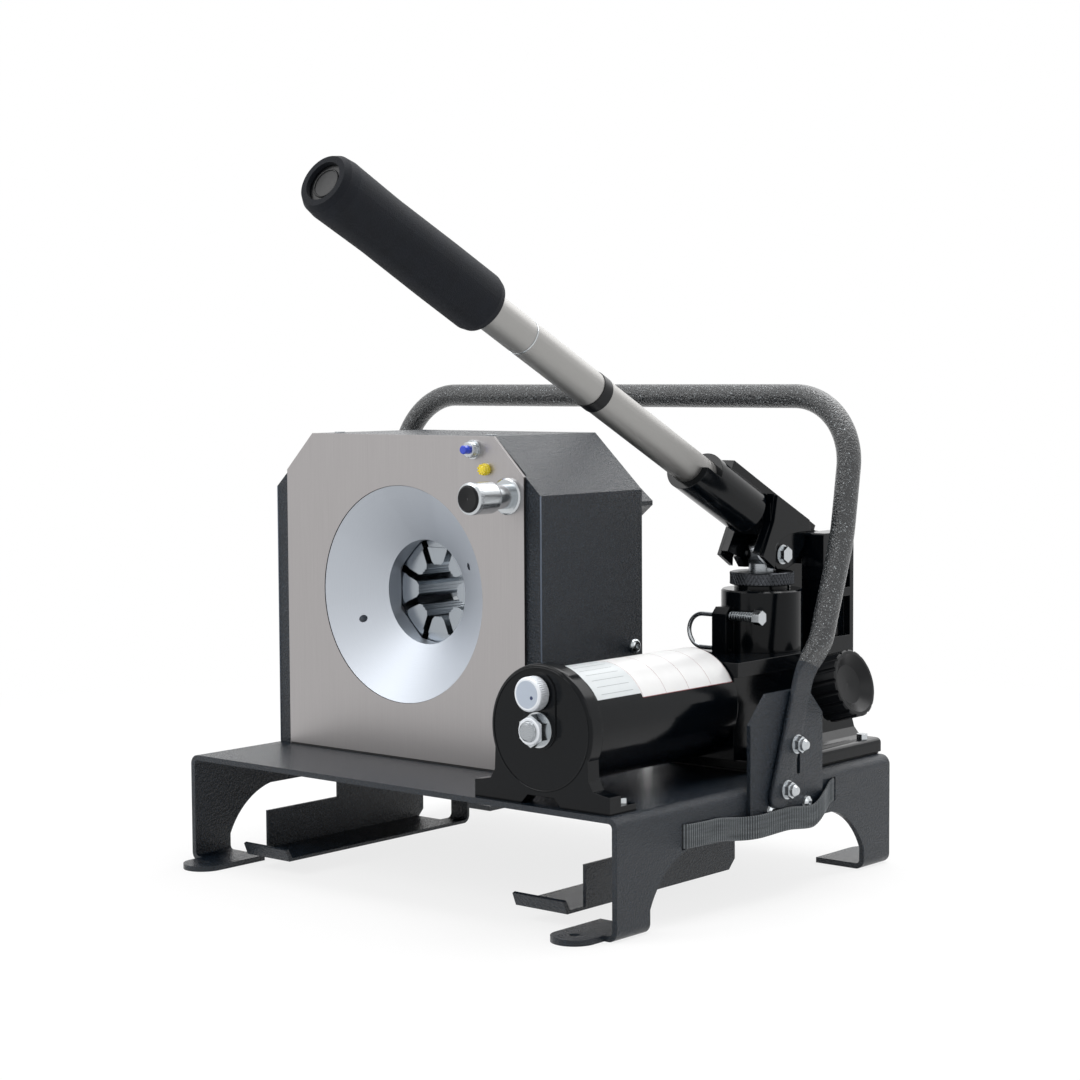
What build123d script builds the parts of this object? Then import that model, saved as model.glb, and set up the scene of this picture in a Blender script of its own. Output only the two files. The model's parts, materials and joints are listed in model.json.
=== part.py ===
from build123d import *
import os
from math import cos, pi, radians, sin, tan

# Hand-pumped bench hose crimper. Millimetres. X right, Y to the rear, Z up.
# Origin: on the bench, at the middle of the stand's four bolt-down holes.

# Stand: one bent sheet
STAND_W = 518.4
STAND_D = 410.1
STAND_H = 102.2
SHEET = 5.0
BEND = 9.0
FOOT_IN = 53.0
FOOT_HOLE_X = 226.0
FOOT_HOLE_Y = 219.0
FOOT_HOLE_R = 4.5
FOOT_TAB_R = 20.0
ARCH_OUT = (161.0, 20.0)
ARCH_MID = (142.0, 45.5)
ARCH_TOP = (108.0, 62.5)
STRAP_SLOTS = ((-115.5, 62.7), (110.8, 72.0))
STRAP_SLOT_H = 22.0

# Die tray rails
RAIL_X = 196.0
RAIL_T = 3.0
RAIL_Z = 12.5
RAIL_TOP = 50.5
RAIL_FRONT = -168.0
RAIL_REAR = 45.0
RAIL_SHELF = 57.0
RAIL_HANGER = (35.0, 57.0)

# Crimp head: the axis runs along Y
HEAD_X = -82.3
HEAD_Z = 256.7
PANEL_T = 3.0
PANEL_Y = -98.8
PANEL_X = (-234.2, 69.6)
PANEL_TOP = 405.7
PANEL_CHAMFER = 35.7
COVER_X = (-251.4, 86.8)
COVER_REAR = 48.9
COVER_CHAMFER = (55.7, 52.2)
COVER_T = 2.0
DISH_R = 101.5
APERTURE_R = 49.5
APERTURE_Y = -64.6
HOUSING_R = 112.0
FLANGE_REAR = -29.0
HOUSING_REAR = 80.0
CYLINDER_R = 88.06
SLEEVE_R = 56.0

# Master dies: they slide down a 3-4-5 ramp
DIES = 8
DIE_TIP_R = 24.5
DIE_TIP_HALF = 3.9
DIE_FRONT = -49.0
DIE_BACK = 20.0
DIE_BACK_R = 69.5
RAMP = 0.75
RAMP_R = 47.0
RAMP_Y = -50.0
DIE_CLOSING = 9.0
RAM_FRONT = -4.0
RAM_REAR = 60.0
GAP = 0.375

# Controls on the front panel
BUTTON = (10.4, 393.6)
LAMP = (24.8, 375.9)
MICROMETER = (50.9, 352.4)

# Hand pump: the tank lies along Y, the cylinder stands on the body
PUMP_X = 173.5
TANK_Z = 166.4
TANK_R = 49.1
CAP_R = 54.9
CAP_Y = -199.1
CAP_T = 15.0
PAD_HALF = 73.7
BODY_HALF = 48.5
BODY_Y = (13.0, 160.0)
BODY_TOP = 204.5
FOOT_Z = 104.0
FOOT_T = 13.0
FOOT_REAR = 213.0
CYL_Y = 119.0
POT_R = 38.0
POT_TOP = 261.0
GLAND_R = 29.3
GLAND_Z = (265.0, 277.0)
PLUNGER_R = 12.5
PIN_Z = 293.5
PIN_R = 5.0
FULCRUM_Y = 188.0
FULCRUM_Z = 296.0
FULCRUM_R = 7.0
POST_X = (15.0, 39.5)
POST_Y = (162.0, 213.0)
POST_TOP = 311.0

# Lever: measured along its own axis from the socket's mouth
LEVER_TILT = 26.8
MOUTH_Y = 28.6
MOUTH_Z = 367.1
LEVER_R = 15.875
SOCKET_R = 22.5
TONGUE_HALF = 13.0
CHEEK_X = (14.0, 22.0)
CHEEK_PAD = 26.0
CHEEK_KEEP_OFF = 31.0
SLOT_TRAVEL = 7.6
SLOT_EASE = 1.2
LEVER_IN = 62.0
LEVER_END = 519.0
LEVER_WALL = 3.0
GRIP_START = 330.0
GRIP_END = 528.0
BAND_AT = 175.0

# Release knob
KNOB_START = (223.0, 135.0, 166.0)
KNOB_TILT = 16.0
KNOB_R = 31.0
KNOB_L = 30.0

# Spring pull pin on the pump cylinder
PULL_Y = 75.0
PULL_Z = (238.5, 207.5)
PULL_X = (122.0, 197.0)
WIRE_R = 2.1

# Carry handle
TUBE_R = 11.0
BAR_Z = 439.5
BAR_Y = 118.0
LEG_X = 276.0
BRACKET_T = 4.0
TUBE_WALL = 2.0
STRAP_T = 2.4
STRAP_BULGE = 9.4

AXIS_X = (1, 0, 0)
AXIS_Y = (0, 1, 0)
AXIS_Z = (0, 0, 1)
FRONT = (0, -1, 0)


def box(x0, x1, y0, y1, z0, z1):
    return Pos((x0 + x1) / 2, (y0 + y1) / 2, (z0 + z1) / 2) * Box(x1 - x0, y1 - y0, z1 - z0)


def rod(start, direction, radius, length):
    cylinder = Cylinder(radius, length, align=(Align.CENTER, Align.CENTER, Align.MIN))
    return Plane(origin=start, z_dir=direction).location * cylinder


def ring(start, direction, outer, inner, length):
    return rod(start, direction, outer, length) - rod(start, direction, inner, length)


def hexagon(start, direction, across_flats, length):
    outline = RegularPolygon(across_flats / 2 / cos(pi / 6), 6)
    return Plane(origin=start, z_dir=direction).location * extrude(outline, length)


def turned(origin, direction, outline):
    # outline: (radius, distance along direction)
    body = revolve(Plane.XZ * Polygon(*outline, align=None), Axis.Z)
    return Plane(origin=origin, z_dir=direction).location * body


def plate_yz(points, x0, x1):
    face = Plane.YZ.offset(x0) * Polygon(*points, align=None)
    return extrude(face, x1 - x0, dir=AXIS_X)


def plate_xz(points, y0, y1):
    face = Plane.XZ.offset(-y0) * Polygon(*points, align=None)
    return extrude(face, y1 - y0, dir=AXIS_Y)


def mirrored_x(shape, x=0.0):
    return mirror(shape, Plane.YZ.offset(x))


def soft_edges(shape, axis, radius):
    return fillet(shape.edges().filter_by(axis), radius)


def joined(pieces):
    return Compound(children=[s for p in pieces for s in p.solids()])


# Stand

def side_arch(x, depth):
    rear = [(x, *ARCH_TOP), (x, *ARCH_MID), (x, *ARCH_OUT), (x, ARCH_OUT[0], -1)]
    front = [(px, -py, pz) for px, py, pz in rear]
    outline = [Line(front[3], front[2]), ThreePointArc(front[2], front[1], front[0]), Line(front[0], rear[0]),
               ThreePointArc(rear[0], rear[1], rear[2]), Line(rear[2], rear[3]), Line(rear[3], front[3])]
    return extrude(make_face(outline), depth, dir=AXIS_X)


def base_stand():
    half_w = STAND_W / 2
    half_d = STAND_D / 2
    outer = soft_edges(box(-half_w, half_w, -half_d, half_d, 0, STAND_H), Axis.Y, BEND)
    inner = box(-half_w + SHEET, half_w - SHEET, -half_d - 1, half_d + 1, SHEET, STAND_H - SHEET)
    sheet = outer - soft_edges(inner, Axis.Y, BEND - SHEET)
    gap = half_w - FOOT_IN
    sheet -= box(-gap, gap, -half_d - 1, half_d + 1, -1, SHEET + 2)
    sheet -= side_arch(-half_w - 1, STAND_W + 2)
    for sx in (-1, 1):
        for sy in (-1, 1):
            x = sx * FOOT_HOLE_X
            y = sy * FOOT_HOLE_Y
            near = sy * (half_d - 8)
            tab = box(x - FOOT_TAB_R, x + FOOT_TAB_R, min(near, y), max(near, y), 0, SHEET)
            tab += rod((x, y, 0), AXIS_Z, FOOT_TAB_R, SHEET)
            sheet += tab
            sheet -= rod((x, y, -1), AXIS_Z, FOOT_HOLE_R, SHEET + 2)
    for y, z in STRAP_SLOTS:
        sheet -= box(half_w - SHEET - 1, half_w + 1, y - 2.5, y + 2.5, z, z + STRAP_SLOT_H)
    return sheet


def tray_rail():
    # left rail; the right one is its mirror image
    x = -RAIL_X
    web = [(RAIL_FRONT, RAIL_Z), (RAIL_REAR - 9, RAIL_Z), (RAIL_REAR, RAIL_Z + 9),
           (RAIL_REAR, STAND_H - SHEET), (-75, STAND_H - SHEET), (-75, RAIL_TOP), (RAIL_FRONT, RAIL_TOP)]
    rail = plate_yz(web, x, x + RAIL_T)
    lip_y = RAIL_FRONT - 24
    rail += box(x, x + RAIL_SHELF, lip_y, RAIL_REAR - 9, RAIL_Z, RAIL_Z + RAIL_T)
    lip = [(lip_y, RAIL_Z), (lip_y + 3.5, RAIL_Z + RAIL_T), (lip_y - 1.5, RAIL_Z + 12), (lip_y - 4.5, RAIL_Z + 11)]
    rail += plate_yz(lip, x, x + RAIL_SHELF)
    # narrow hanger at the back of the shelf, bent up to the stand
    hanger = box(x + RAIL_HANGER[0], x + RAIL_HANGER[1], RAIL_REAR - 10, RAIL_REAR + 10, RAIL_Z, STAND_H - SHEET)
    hanger = fillet(hanger.edges().filter_by(Axis.X).sort_by(Axis.Z)[:2].sort_by(Axis.Y)[-1], 8)
    hollow = box(x + RAIL_HANGER[0] - 1, x + RAIL_HANGER[1] + 1, RAIL_REAR - 12, RAIL_REAR + 7, RAIL_Z + RAIL_T, STAND_H)
    hollow = fillet(hollow.edges().filter_by(Axis.X).sort_by(Axis.Z)[:2].sort_by(Axis.Y)[-1], 5)
    rail += hanger - hollow
    rail += box(x, x + 22, -70, RAIL_REAR - 5, STAND_H - SHEET - RAIL_T, STAND_H - SHEET)
    return rail


# Casing

def casing_outline(x0, x1, top, cut_x, cut_z, inset=0.0, bottom=STAND_H):
    # a 45-degree corner moves in by 0.42 of the inset
    corner = inset * 0.42
    return [(x0 + inset, bottom), (x0 + inset, top - cut_z - corner),
            (x0 + cut_x + corner, top - inset), (x1 - cut_x - corner, top - inset),
            (x1 - inset, top - cut_z - corner), (x1 - inset, bottom)]


def front_panel():
    outline = casing_outline(*PANEL_X, PANEL_TOP, PANEL_CHAMFER, PANEL_CHAMFER)
    panel = plate_xz(outline, PANEL_Y, PANEL_Y + PANEL_T)
    holes = ((HEAD_X, HEAD_Z, DISH_R + 0.4), (*BUTTON, 7.0), (*LAMP, 4.0), (*MICROMETER, 11.0))
    for x, z, r in holes:
        panel -= rod((x, PANEL_Y - 1, z), AXIS_Y, r, PANEL_T + 2)
    return panel


def casing_cover():
    front = PANEL_Y + PANEL_T
    outer = casing_outline(*COVER_X, PANEL_TOP, *COVER_CHAMFER)
    inner = casing_outline(*COVER_X, PANEL_TOP, *COVER_CHAMFER, inset=COVER_T, bottom=STAND_H - 2)
    shell = plate_xz(outer, front, COVER_REAR)
    shell -= plate_xz(inner, front + COVER_T, COVER_REAR + 1)
    window = casing_outline(*COVER_X, PANEL_TOP, *COVER_CHAMFER, inset=34.0, bottom=STAND_H - 2)
    shell -= plate_xz(window, front - 1, front + COVER_T + 1)
    x, z = BUTTON
    shell -= box(x - 12, MICROMETER[0] + 17, front - 1, front + COVER_T + 1, MICROMETER[1] - 18, z + 10)
    return shell


def casing_rear_panel():
    outline = casing_outline(*COVER_X, PANEL_TOP, *COVER_CHAMFER, inset=COVER_T)
    panel = plate_xz(outline, COVER_REAR - 4, COVER_REAR - 2)
    panel -= rod((HEAD_X, COVER_REAR - 5, HEAD_Z), AXIS_Y, HOUSING_R + 0.5, 4)
    panel -= rod((60, COVER_REAR - 5, 150), AXIS_Y, 7, 4)
    return panel


def casing_screws():
    heads = []
    for sx, x in ((-1, COVER_X[0]), (1, COVER_X[1])):
        for y in (-60, 37):
            start = (x, y, 208.3)
            heads.append(turned(start, (sx, 0, 0), [(0, 0), (7, 0), (6.4, 2.4), (4.2, 4), (2, 4), (2, 2), (0, 2)]))
    for x in (-180, 15):
        heads.append(rod((x, -80, PANEL_TOP), AXIS_Z, 5, 1.2))
    return joined(heads)


# Crimp head

def octagon(apothem):
    corner = apothem / cos(pi / DIES)
    angles = [radians(22.5 + 45 * k) for k in range(DIES)]
    return [(corner * cos(a), corner * sin(a)) for a in angles]


def octagon_taper(y0, a0, y1, a1):
    faces = []
    for y, apothem in ((y0, a0), (y1, a1)):
        plane = Plane(origin=(HEAD_X, y, HEAD_Z), x_dir=AXIS_X, z_dir=AXIS_Y)
        faces.append(plane * Polygon(*octagon(apothem), align=None))
    return loft(faces, ruled=True)


def front_ramp(y):
    return RAMP_R + RAMP * (y - RAMP_Y)


def rear_ramp(y):
    return DIE_BACK_R - RAMP * (y + 10)


def front_flange():
    seat = PANEL_Y + PANEL_T
    outline = [(APERTURE_R, APERTURE_Y), (DISH_R, PANEL_Y + 0.8), (DISH_R, seat),
               (HOUSING_R, seat), (HOUSING_R, FLANGE_REAR), (APERTURE_R, FLANGE_REAR)]
    flange = turned((HEAD_X, 0, HEAD_Z), AXIS_Y, outline)
    start = APERTURE_Y + 12
    flange -= octagon_taper(start, front_ramp(start) + GAP, FLANGE_REAR + 1, front_ramp(FLANGE_REAR + 1) + GAP)
    for angle in (22.5, 202.5):
        x = HEAD_X + 74 * cos(radians(angle))
        z = HEAD_Z + 74 * sin(radians(angle))
        flange -= rod((x, PANEL_Y, z), AXIS_Y, 3.5, 30)
    return flange


def head_housing():
    outline = [(CYLINDER_R, FLANGE_REAR), (HOUSING_R, FLANGE_REAR), (HOUSING_R, HOUSING_REAR - 4),
               (HOUSING_R - 4, HOUSING_REAR), (50, HOUSING_REAR), (50, 24), (SLEEVE_R, 24),
               (SLEEVE_R, 66), (CYLINDER_R, 66)]
    return turned((HEAD_X, 0, HEAD_Z), AXIS_Y, outline)


def head_saddle():
    cradle = box(HEAD_X - 75, HEAD_X + 75, -85, COVER_REAR - 5, STAND_H + 14, HEAD_Z - 55)
    cradle -= box(HEAD_X - 50, HEAD_X + 50, -86, 71, STAND_H + 30, HEAD_Z - 100)
    cradle += box(HEAD_X - 100, HEAD_X + 100, -85, 40, STAND_H, STAND_H + 14)
    return cradle - rod((HEAD_X, -90, HEAD_Z), AXIS_Y, HOUSING_R, 170)


def tie_bolts():
    heads = []
    for k in range(DIES):
        a = radians(22.5 + 45 * k)
        start = (HEAD_X + 100 * cos(a), HOUSING_REAR, HEAD_Z + 100 * sin(a))
        heads.append(rod(start, AXIS_Y, 6.5, 8) - hexagon((start[0], start[1] + 4, start[2]), AXIS_Y, 6, 5))
    return joined(heads)


def ram_piston():
    mid = 22.0
    outline = [(40, RAM_FRONT), (CYLINDER_R - 0.06, RAM_FRONT), (CYLINDER_R - 0.06, RAM_REAR),
               (SLEEVE_R + 0.05, RAM_REAR), (SLEEVE_R + 0.05, mid), (40, mid)]
    ram = turned((HEAD_X, 0, HEAD_Z), AXIS_Y, outline)
    ram -= octagon_taper(RAM_FRONT - 2, rear_ramp(RAM_FRONT - 2) + GAP, mid + 2, rear_ramp(mid + 2) + GAP)
    for k in range(DIES):
        a = radians(45 * k)
        start = (HEAD_X + 77 * cos(a), RAM_FRONT - 1, HEAD_Z + 77 * sin(a))
        ram -= rod(start, AXIS_Y, 5.5, 31)
    axis = (HEAD_X, 50, HEAD_Z)
    ram -= ring(axis, AXIS_Y, CYLINDER_R + 1, 84, 4)
    ram -= ring(axis, AXIS_Y, SLEEVE_R + 3, SLEEVE_R - 1, 3)
    return ram


def piston_seals():
    axis = (HEAD_X, 50, HEAD_Z)
    outer = ring(axis, AXIS_Y, CYLINDER_R - 0.06, 84, 4)
    inner = ring(axis, AXIS_Y, SLEEVE_R + 3, SLEEVE_R + 0.05, 3)
    return joined([outer, inner])


def return_springs():
    springs = []
    for k in range(DIES):
        a = radians(45 * k)
        start = (HEAD_X + 77 * cos(a), FLANGE_REAR, HEAD_Z + 77 * sin(a))
        springs.append(ring(start, AXIS_Y, 4.5, 3.0, 55))
    return joined(springs)


def master_die(k):
    ramp_end = -20.0
    rim = -47.3
    profile = [(DIE_TIP_R, DIE_FRONT), (41, DIE_FRONT), (41, rim), (front_ramp(rim) - 1.6, rim),
               (front_ramp(-46.5), -46.5), (DIE_BACK_R, ramp_end), (DIE_BACK_R, -10),
               (rear_ramp(DIE_BACK), DIE_BACK), (DIE_TIP_R, DIE_BACK)]
    blank = extrude(Pos(0, 0, -30) * Polygon(*profile, align=None), 60, dir=AXIS_Z)
    side = tan(radians(22.5))
    shoulder = DIE_TIP_R + 3
    half = [(DIE_TIP_R, DIE_TIP_HALF), (shoulder, (shoulder - DIE_CLOSING) * side - 0.2),
            (DIE_BACK_R + 1, (DIE_BACK_R + 1 - DIE_CLOSING) * side - 0.2)]
    wedge = half + [(r, -w) for r, w in reversed(half)]
    die = blank & plate_xz(wedge, DIE_FRONT - 1, DIE_BACK + 1)
    for z in (-1.7, 1.7):
        die -= box(DIE_TIP_R - 1, DIE_TIP_R + 0.8, DIE_FRONT - 1, DIE_BACK + 1, z - 0.6, z + 0.6)
    return Pos(HEAD_X, 0, HEAD_Z) * (Rot(0, -45 * k, 0) * die)


# Controls

def micrometer_bezel():
    x, z = MICROMETER
    return turned((x, PANEL_Y, z), FRONT, [(11, 0), (16.5, 0), (16.5, 2.2), (15, 3.2), (11, 3.2)])


def micrometer_barrel():
    x, z = MICROMETER
    outline = [(4.05, -9), (16, -9), (16, -3), (11, -3), (11, 25.2), (4.05, 25.2)]
    return turned((x, PANEL_Y, z), FRONT, outline)


def micrometer_thimble():
    x, z = MICROMETER
    outline = [(11.3, 23), (13.6, 23), (14.3, 25), (14.3, 51), (12.1, 52.2), (12.1, 48),
               (4.05, 48), (4.05, 36), (11.3, 36)]
    return turned((x, PANEL_Y, z), FRONT, outline)


def micrometer_end_plug():
    x, z = MICROMETER
    return turned((x, PANEL_Y, z), FRONT, [(0, 48), (12.1, 48), (12.1, 53), (10.5, 54.2), (0, 53)])


def micrometer_spindle():
    x, z = MICROMETER
    return turned((x, PANEL_Y, z), FRONT, [(0, -117), (4, -117), (4, 47.5), (0, 47.5)])


def limit_switch():
    x, z = MICROMETER
    body = box(x - 10, x + 10, 24.5, COVER_REAR - 4, z - 14, z + 10)
    return soft_edges(body, Axis.Y, 1.5)


def switch_housing():
    x, z = MICROMETER
    left = x - 35
    outline = [(left, z - 30), (x - 2, z - 30), (x + 15, z - 16), (x + 15, z - 12), (x - 12, z + 10), (left, z + 10)]
    return plate_xz(outline, COVER_REAR - 2, 92)


def button_bush():
    x, z = BUTTON
    outline = [(3.95, -8), (9, -8), (9, -3), (7, -3), (7, 0), (8.8, 0), (8.8, 2), (7, 2), (7, 8),
               (6.2, 8.6), (3.95, 8.6)]
    return turned((x, PANEL_Y, z), FRONT, outline)


def test_button():
    x, z = BUTTON
    return turned((x, PANEL_Y, z), FRONT, [(0, -4), (3.88, -4), (3.88, 14.6), (3.2, 15.4), (0, 15.4)])


def lamp_lens():
    x, z = LAMP
    outline = [(0, -8), (4, -8), (4, 0), (5.6, 0), (5.6, 3), (4.6, 5.4), (2.6, 6.6), (0, 7)]
    return turned((x, PANEL_Y, z), FRONT, outline)


# Hand pump

def reservoir_tube():
    return ring((PUMP_X, CAP_Y + CAP_T, TANK_Z), AXIS_Y, TANK_R, TANK_R - 2.6, BODY_Y[0] - CAP_Y - CAP_T)


def reservoir_cap():
    foot_top = STAND_H + 16
    left = [(0, TANK_Z), (50, TANK_Z - 18), (51, foot_top + 10), (56, foot_top + 2), (PAD_HALF - 8, foot_top),
            (PAD_HALF, foot_top - 1), (PAD_HALF, STAND_H), (22, STAND_H), (14.5, STAND_H + 8), (0, STAND_H + 8)]
    half = [(PUMP_X - x, z) for x, z in left]
    side = plate_xz(half, CAP_Y, CAP_Y + CAP_T)
    disc = rod((PUMP_X, CAP_Y, TANK_Z), AXIS_Y, CAP_R, CAP_T)
    disc = fillet(disc.edges().filter_by(GeomType.CIRCLE).sort_by(Axis.Y)[0], 2.5)
    cap = disc + side + mirrored_x(side, PUMP_X)
    for s in (-1, 1):
        x0 = PUMP_X + s * 44
        x1 = PUMP_X + s * PAD_HALF
        cap += box(min(x0, x1), max(x0, x1), CAP_Y + CAP_T, CAP_Y + CAP_T + 20, STAND_H, STAND_H + 6)
    # raised oval boss round the tie rod and the vent
    boss = Plane(origin=(PUMP_X, CAP_Y + 1, (TANK_Z + 197) / 2), x_dir=AXIS_Z, z_dir=FRONT).location
    cap += boss * extrude(SlotCenterToCenter(31, 34), 2.2)
    cap -= rod((PUMP_X, CAP_Y - 3, TANK_Z), AXIS_Y, 8, CAP_T + 6)
    cap -= rod((PUMP_X - 2, CAP_Y - 3, 197), AXIS_Y, 5.05, 14)
    return cap


def tie_rod():
    rear = BODY_Y[0]
    front = CAP_Y - 19
    return turned((PUMP_X, front, TANK_Z), AXIS_Y, [(0, 0), (6.4, 0), (8, 1.6), (8, rear - front), (0, rear - front)])


def tie_rod_nut():
    y = CAP_Y - 1.2
    washer = ring((PUMP_X, y, TANK_Z), FRONT, 15, 8, 2.4)
    nut = hexagon((PUMP_X, y - 2.4, TANK_Z), FRONT, 24, 9) - rod((PUMP_X, y - 1, TANK_Z), FRONT, 8, 14)
    return joined([washer, nut])


def vent_knob():
    start = (PUMP_X - 2, CAP_Y - 1.5, 197)
    outline = [(0, -10), (5, -10), (5, 0), (13, 0), (14.3, 1.5), (14.3, 12), (13, 13.2), (0, 13.2)]
    return turned(start, FRONT, outline)


def pump_body():
    x0 = PUMP_X - BODY_HALF
    x1 = PUMP_X + BODY_HALF
    y0, y1 = BODY_Y
    top = box(x0, x1, y0, y1, BODY_TOP - 13, BODY_TOP)
    waist = box(x0 + 4, x1 - 4, y0, y1, FOOT_Z + FOOT_T, BODY_TOP - 13)
    foot = box(PUMP_X - PAD_HALF, PUMP_X + PAD_HALF, 40, FOOT_REAR, FOOT_Z, FOOT_Z + FOOT_T)
    foot = fillet(foot.edges().filter_by(Axis.Z), 6)
    foot = fillet(foot.faces().sort_by(Axis.Z)[-1].edges(), 5)
    # cast flare between the waist and the foot
    flare = [(BODY_HALF - 4.5, FOOT_Z + 34), (BODY_HALF - 1, FOOT_Z + 22), (BODY_HALF + 5, FOOT_Z + 15),
             (BODY_HALF + 10, FOOT_Z + FOOT_T - 0.5), (BODY_HALF - 4.5, FOOT_Z + FOOT_T - 0.5)]
    body = top + waist + foot
    rear = box(PUMP_X - POST_X[1], PUMP_X + POST_X[1], y1, POST_Y[1] - 6, FOOT_Z + 5, BODY_TOP - 6)
    body += rear
    for s in (-1, 1):
        outline = [(PUMP_X + s * x, z) for x, z in flare]
        body += plate_xz(outline, 46, FOOT_REAR - 10)
        xa = PUMP_X + s * POST_X[0]
        xb = PUMP_X + s * POST_X[1]
        post = box(min(xa, xb), max(xa, xb), *POST_Y, BODY_TOP - 20, POST_TOP)
        post = fillet(post.edges().filter_by(Axis.X).sort_by(Axis.Z)[-2:], 4)
        # cast pockets in the outer side, with a cross rib between them
        xp = PUMP_X + s * (POST_X[1] - 7)
        for z0, z1 in ((BODY_TOP + 8, 250), (258, 285)):
            post -= box(min(xp, xb + s), max(xp, xb + s), POST_Y[0] + 8, POST_Y[1] - 6, z0, z1)
        body += post
    body -= rod((PUMP_X, CYL_Y, BODY_TOP - 60), AXIS_Z, PLUNGER_R + 0.1, 70)
    body -= rod((PUMP_X - 60, FULCRUM_Y, FULCRUM_Z), AXIS_X, FULCRUM_R, 120)
    body -= rod(KNOB_START, knob_axis(-1), 5.05, 20)
    return body


def pump_cylinder():
    outline = [(PLUNGER_R + 0.1, BODY_TOP), (POT_R, BODY_TOP), (POT_R, POT_TOP - 1.5), (POT_R - 1.5, POT_TOP),
               (26, POT_TOP), (26, GLAND_Z[0]), (PLUNGER_R + 0.1, GLAND_Z[0])]
    pot = turned((PUMP_X, CYL_Y, 0), AXIS_Z, outline)
    # lug that carries the spring pull pin
    front = PULL_Y - 6
    outline = [(front, BODY_TOP), (front + 20, BODY_TOP), (front + 20, 246), (front + 6, 246), (front, 240)]
    lug = plate_yz(outline, PUMP_X - 21, PUMP_X - 5)
    lug -= rod((PUMP_X, CYL_Y, BODY_TOP - 10), AXIS_Z, POT_R - 1, 70)
    pot += lug
    for z in PULL_Z:
        pot -= rod((PUMP_X - 30, PULL_Y, z), AXIS_X, WIRE_R + 0.05, 30)
    return pot


def gland_nut():
    z0, z1 = GLAND_Z
    outline = [(PLUNGER_R + 0.6, z0), (GLAND_R - 1, z0), (GLAND_R, z0 + 1), (GLAND_R, z1 - 1),
               (GLAND_R - 1, z1), (PLUNGER_R + 0.6, z1)]
    return turned((PUMP_X, CYL_Y, 0), AXIS_Z, outline)


def plunger():
    bottom = BODY_TOP - 50
    ram = rod((PUMP_X, CYL_Y, bottom), AXIS_Z, PLUNGER_R + 0.04, PIN_Z - 9 - bottom)
    eye = rod((PUMP_X - TONGUE_HALF, CYL_Y, PIN_Z), AXIS_X, 12.5, 2 * TONGUE_HALF)
    eye &= rod((PUMP_X, CYL_Y, PIN_Z - 20), AXIS_Z, 13.0, 40)
    return ram + eye - rod((PUMP_X - 20, CYL_Y, PIN_Z), AXIS_X, PIN_R, 40)


def plunger_pin():
    reach = CHEEK_X[1] + 0.6
    shank = rod((PUMP_X - reach - 4, CYL_Y, PIN_Z), AXIS_X, PIN_R, 2 * reach + 4)
    head = ring((PUMP_X + reach - 0.3, CYL_Y, PIN_Z), AXIS_X, 9, PIN_R, 1.6)
    head += hexagon((PUMP_X + reach, CYL_Y, PIN_Z), AXIS_X, 13, 6.8)
    clip = ring((PUMP_X - reach - 2.2, CYL_Y, PIN_Z), AXIS_X, 9, PIN_R, 2)
    return shank + head + clip


def fulcrum_pin():
    half = POST_X[1] + 1.5
    pin = rod((PUMP_X - half, FULCRUM_Y, FULCRUM_Z), AXIS_X, FULCRUM_R, 2 * half)
    for s in (-1, 1):
        pin += rod((PUMP_X + s * POST_X[1], FULCRUM_Y, FULCRUM_Z), (s, 0, 0), FULCRUM_R + 3, 2.5)
    return pin


# Lever

def lever_frame():
    # z runs along the lever to its grip, x stays X
    a = radians(LEVER_TILT)
    return Plane(origin=(PUMP_X, MOUTH_Y, MOUTH_Z), x_dir=AXIS_X, z_dir=(0, -cos(a), sin(a)))


def lever_turned(outline):
    body = revolve(Plane.XZ * Polygon(*outline, align=None), Axis.Z)
    return lever_frame().location * body


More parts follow.
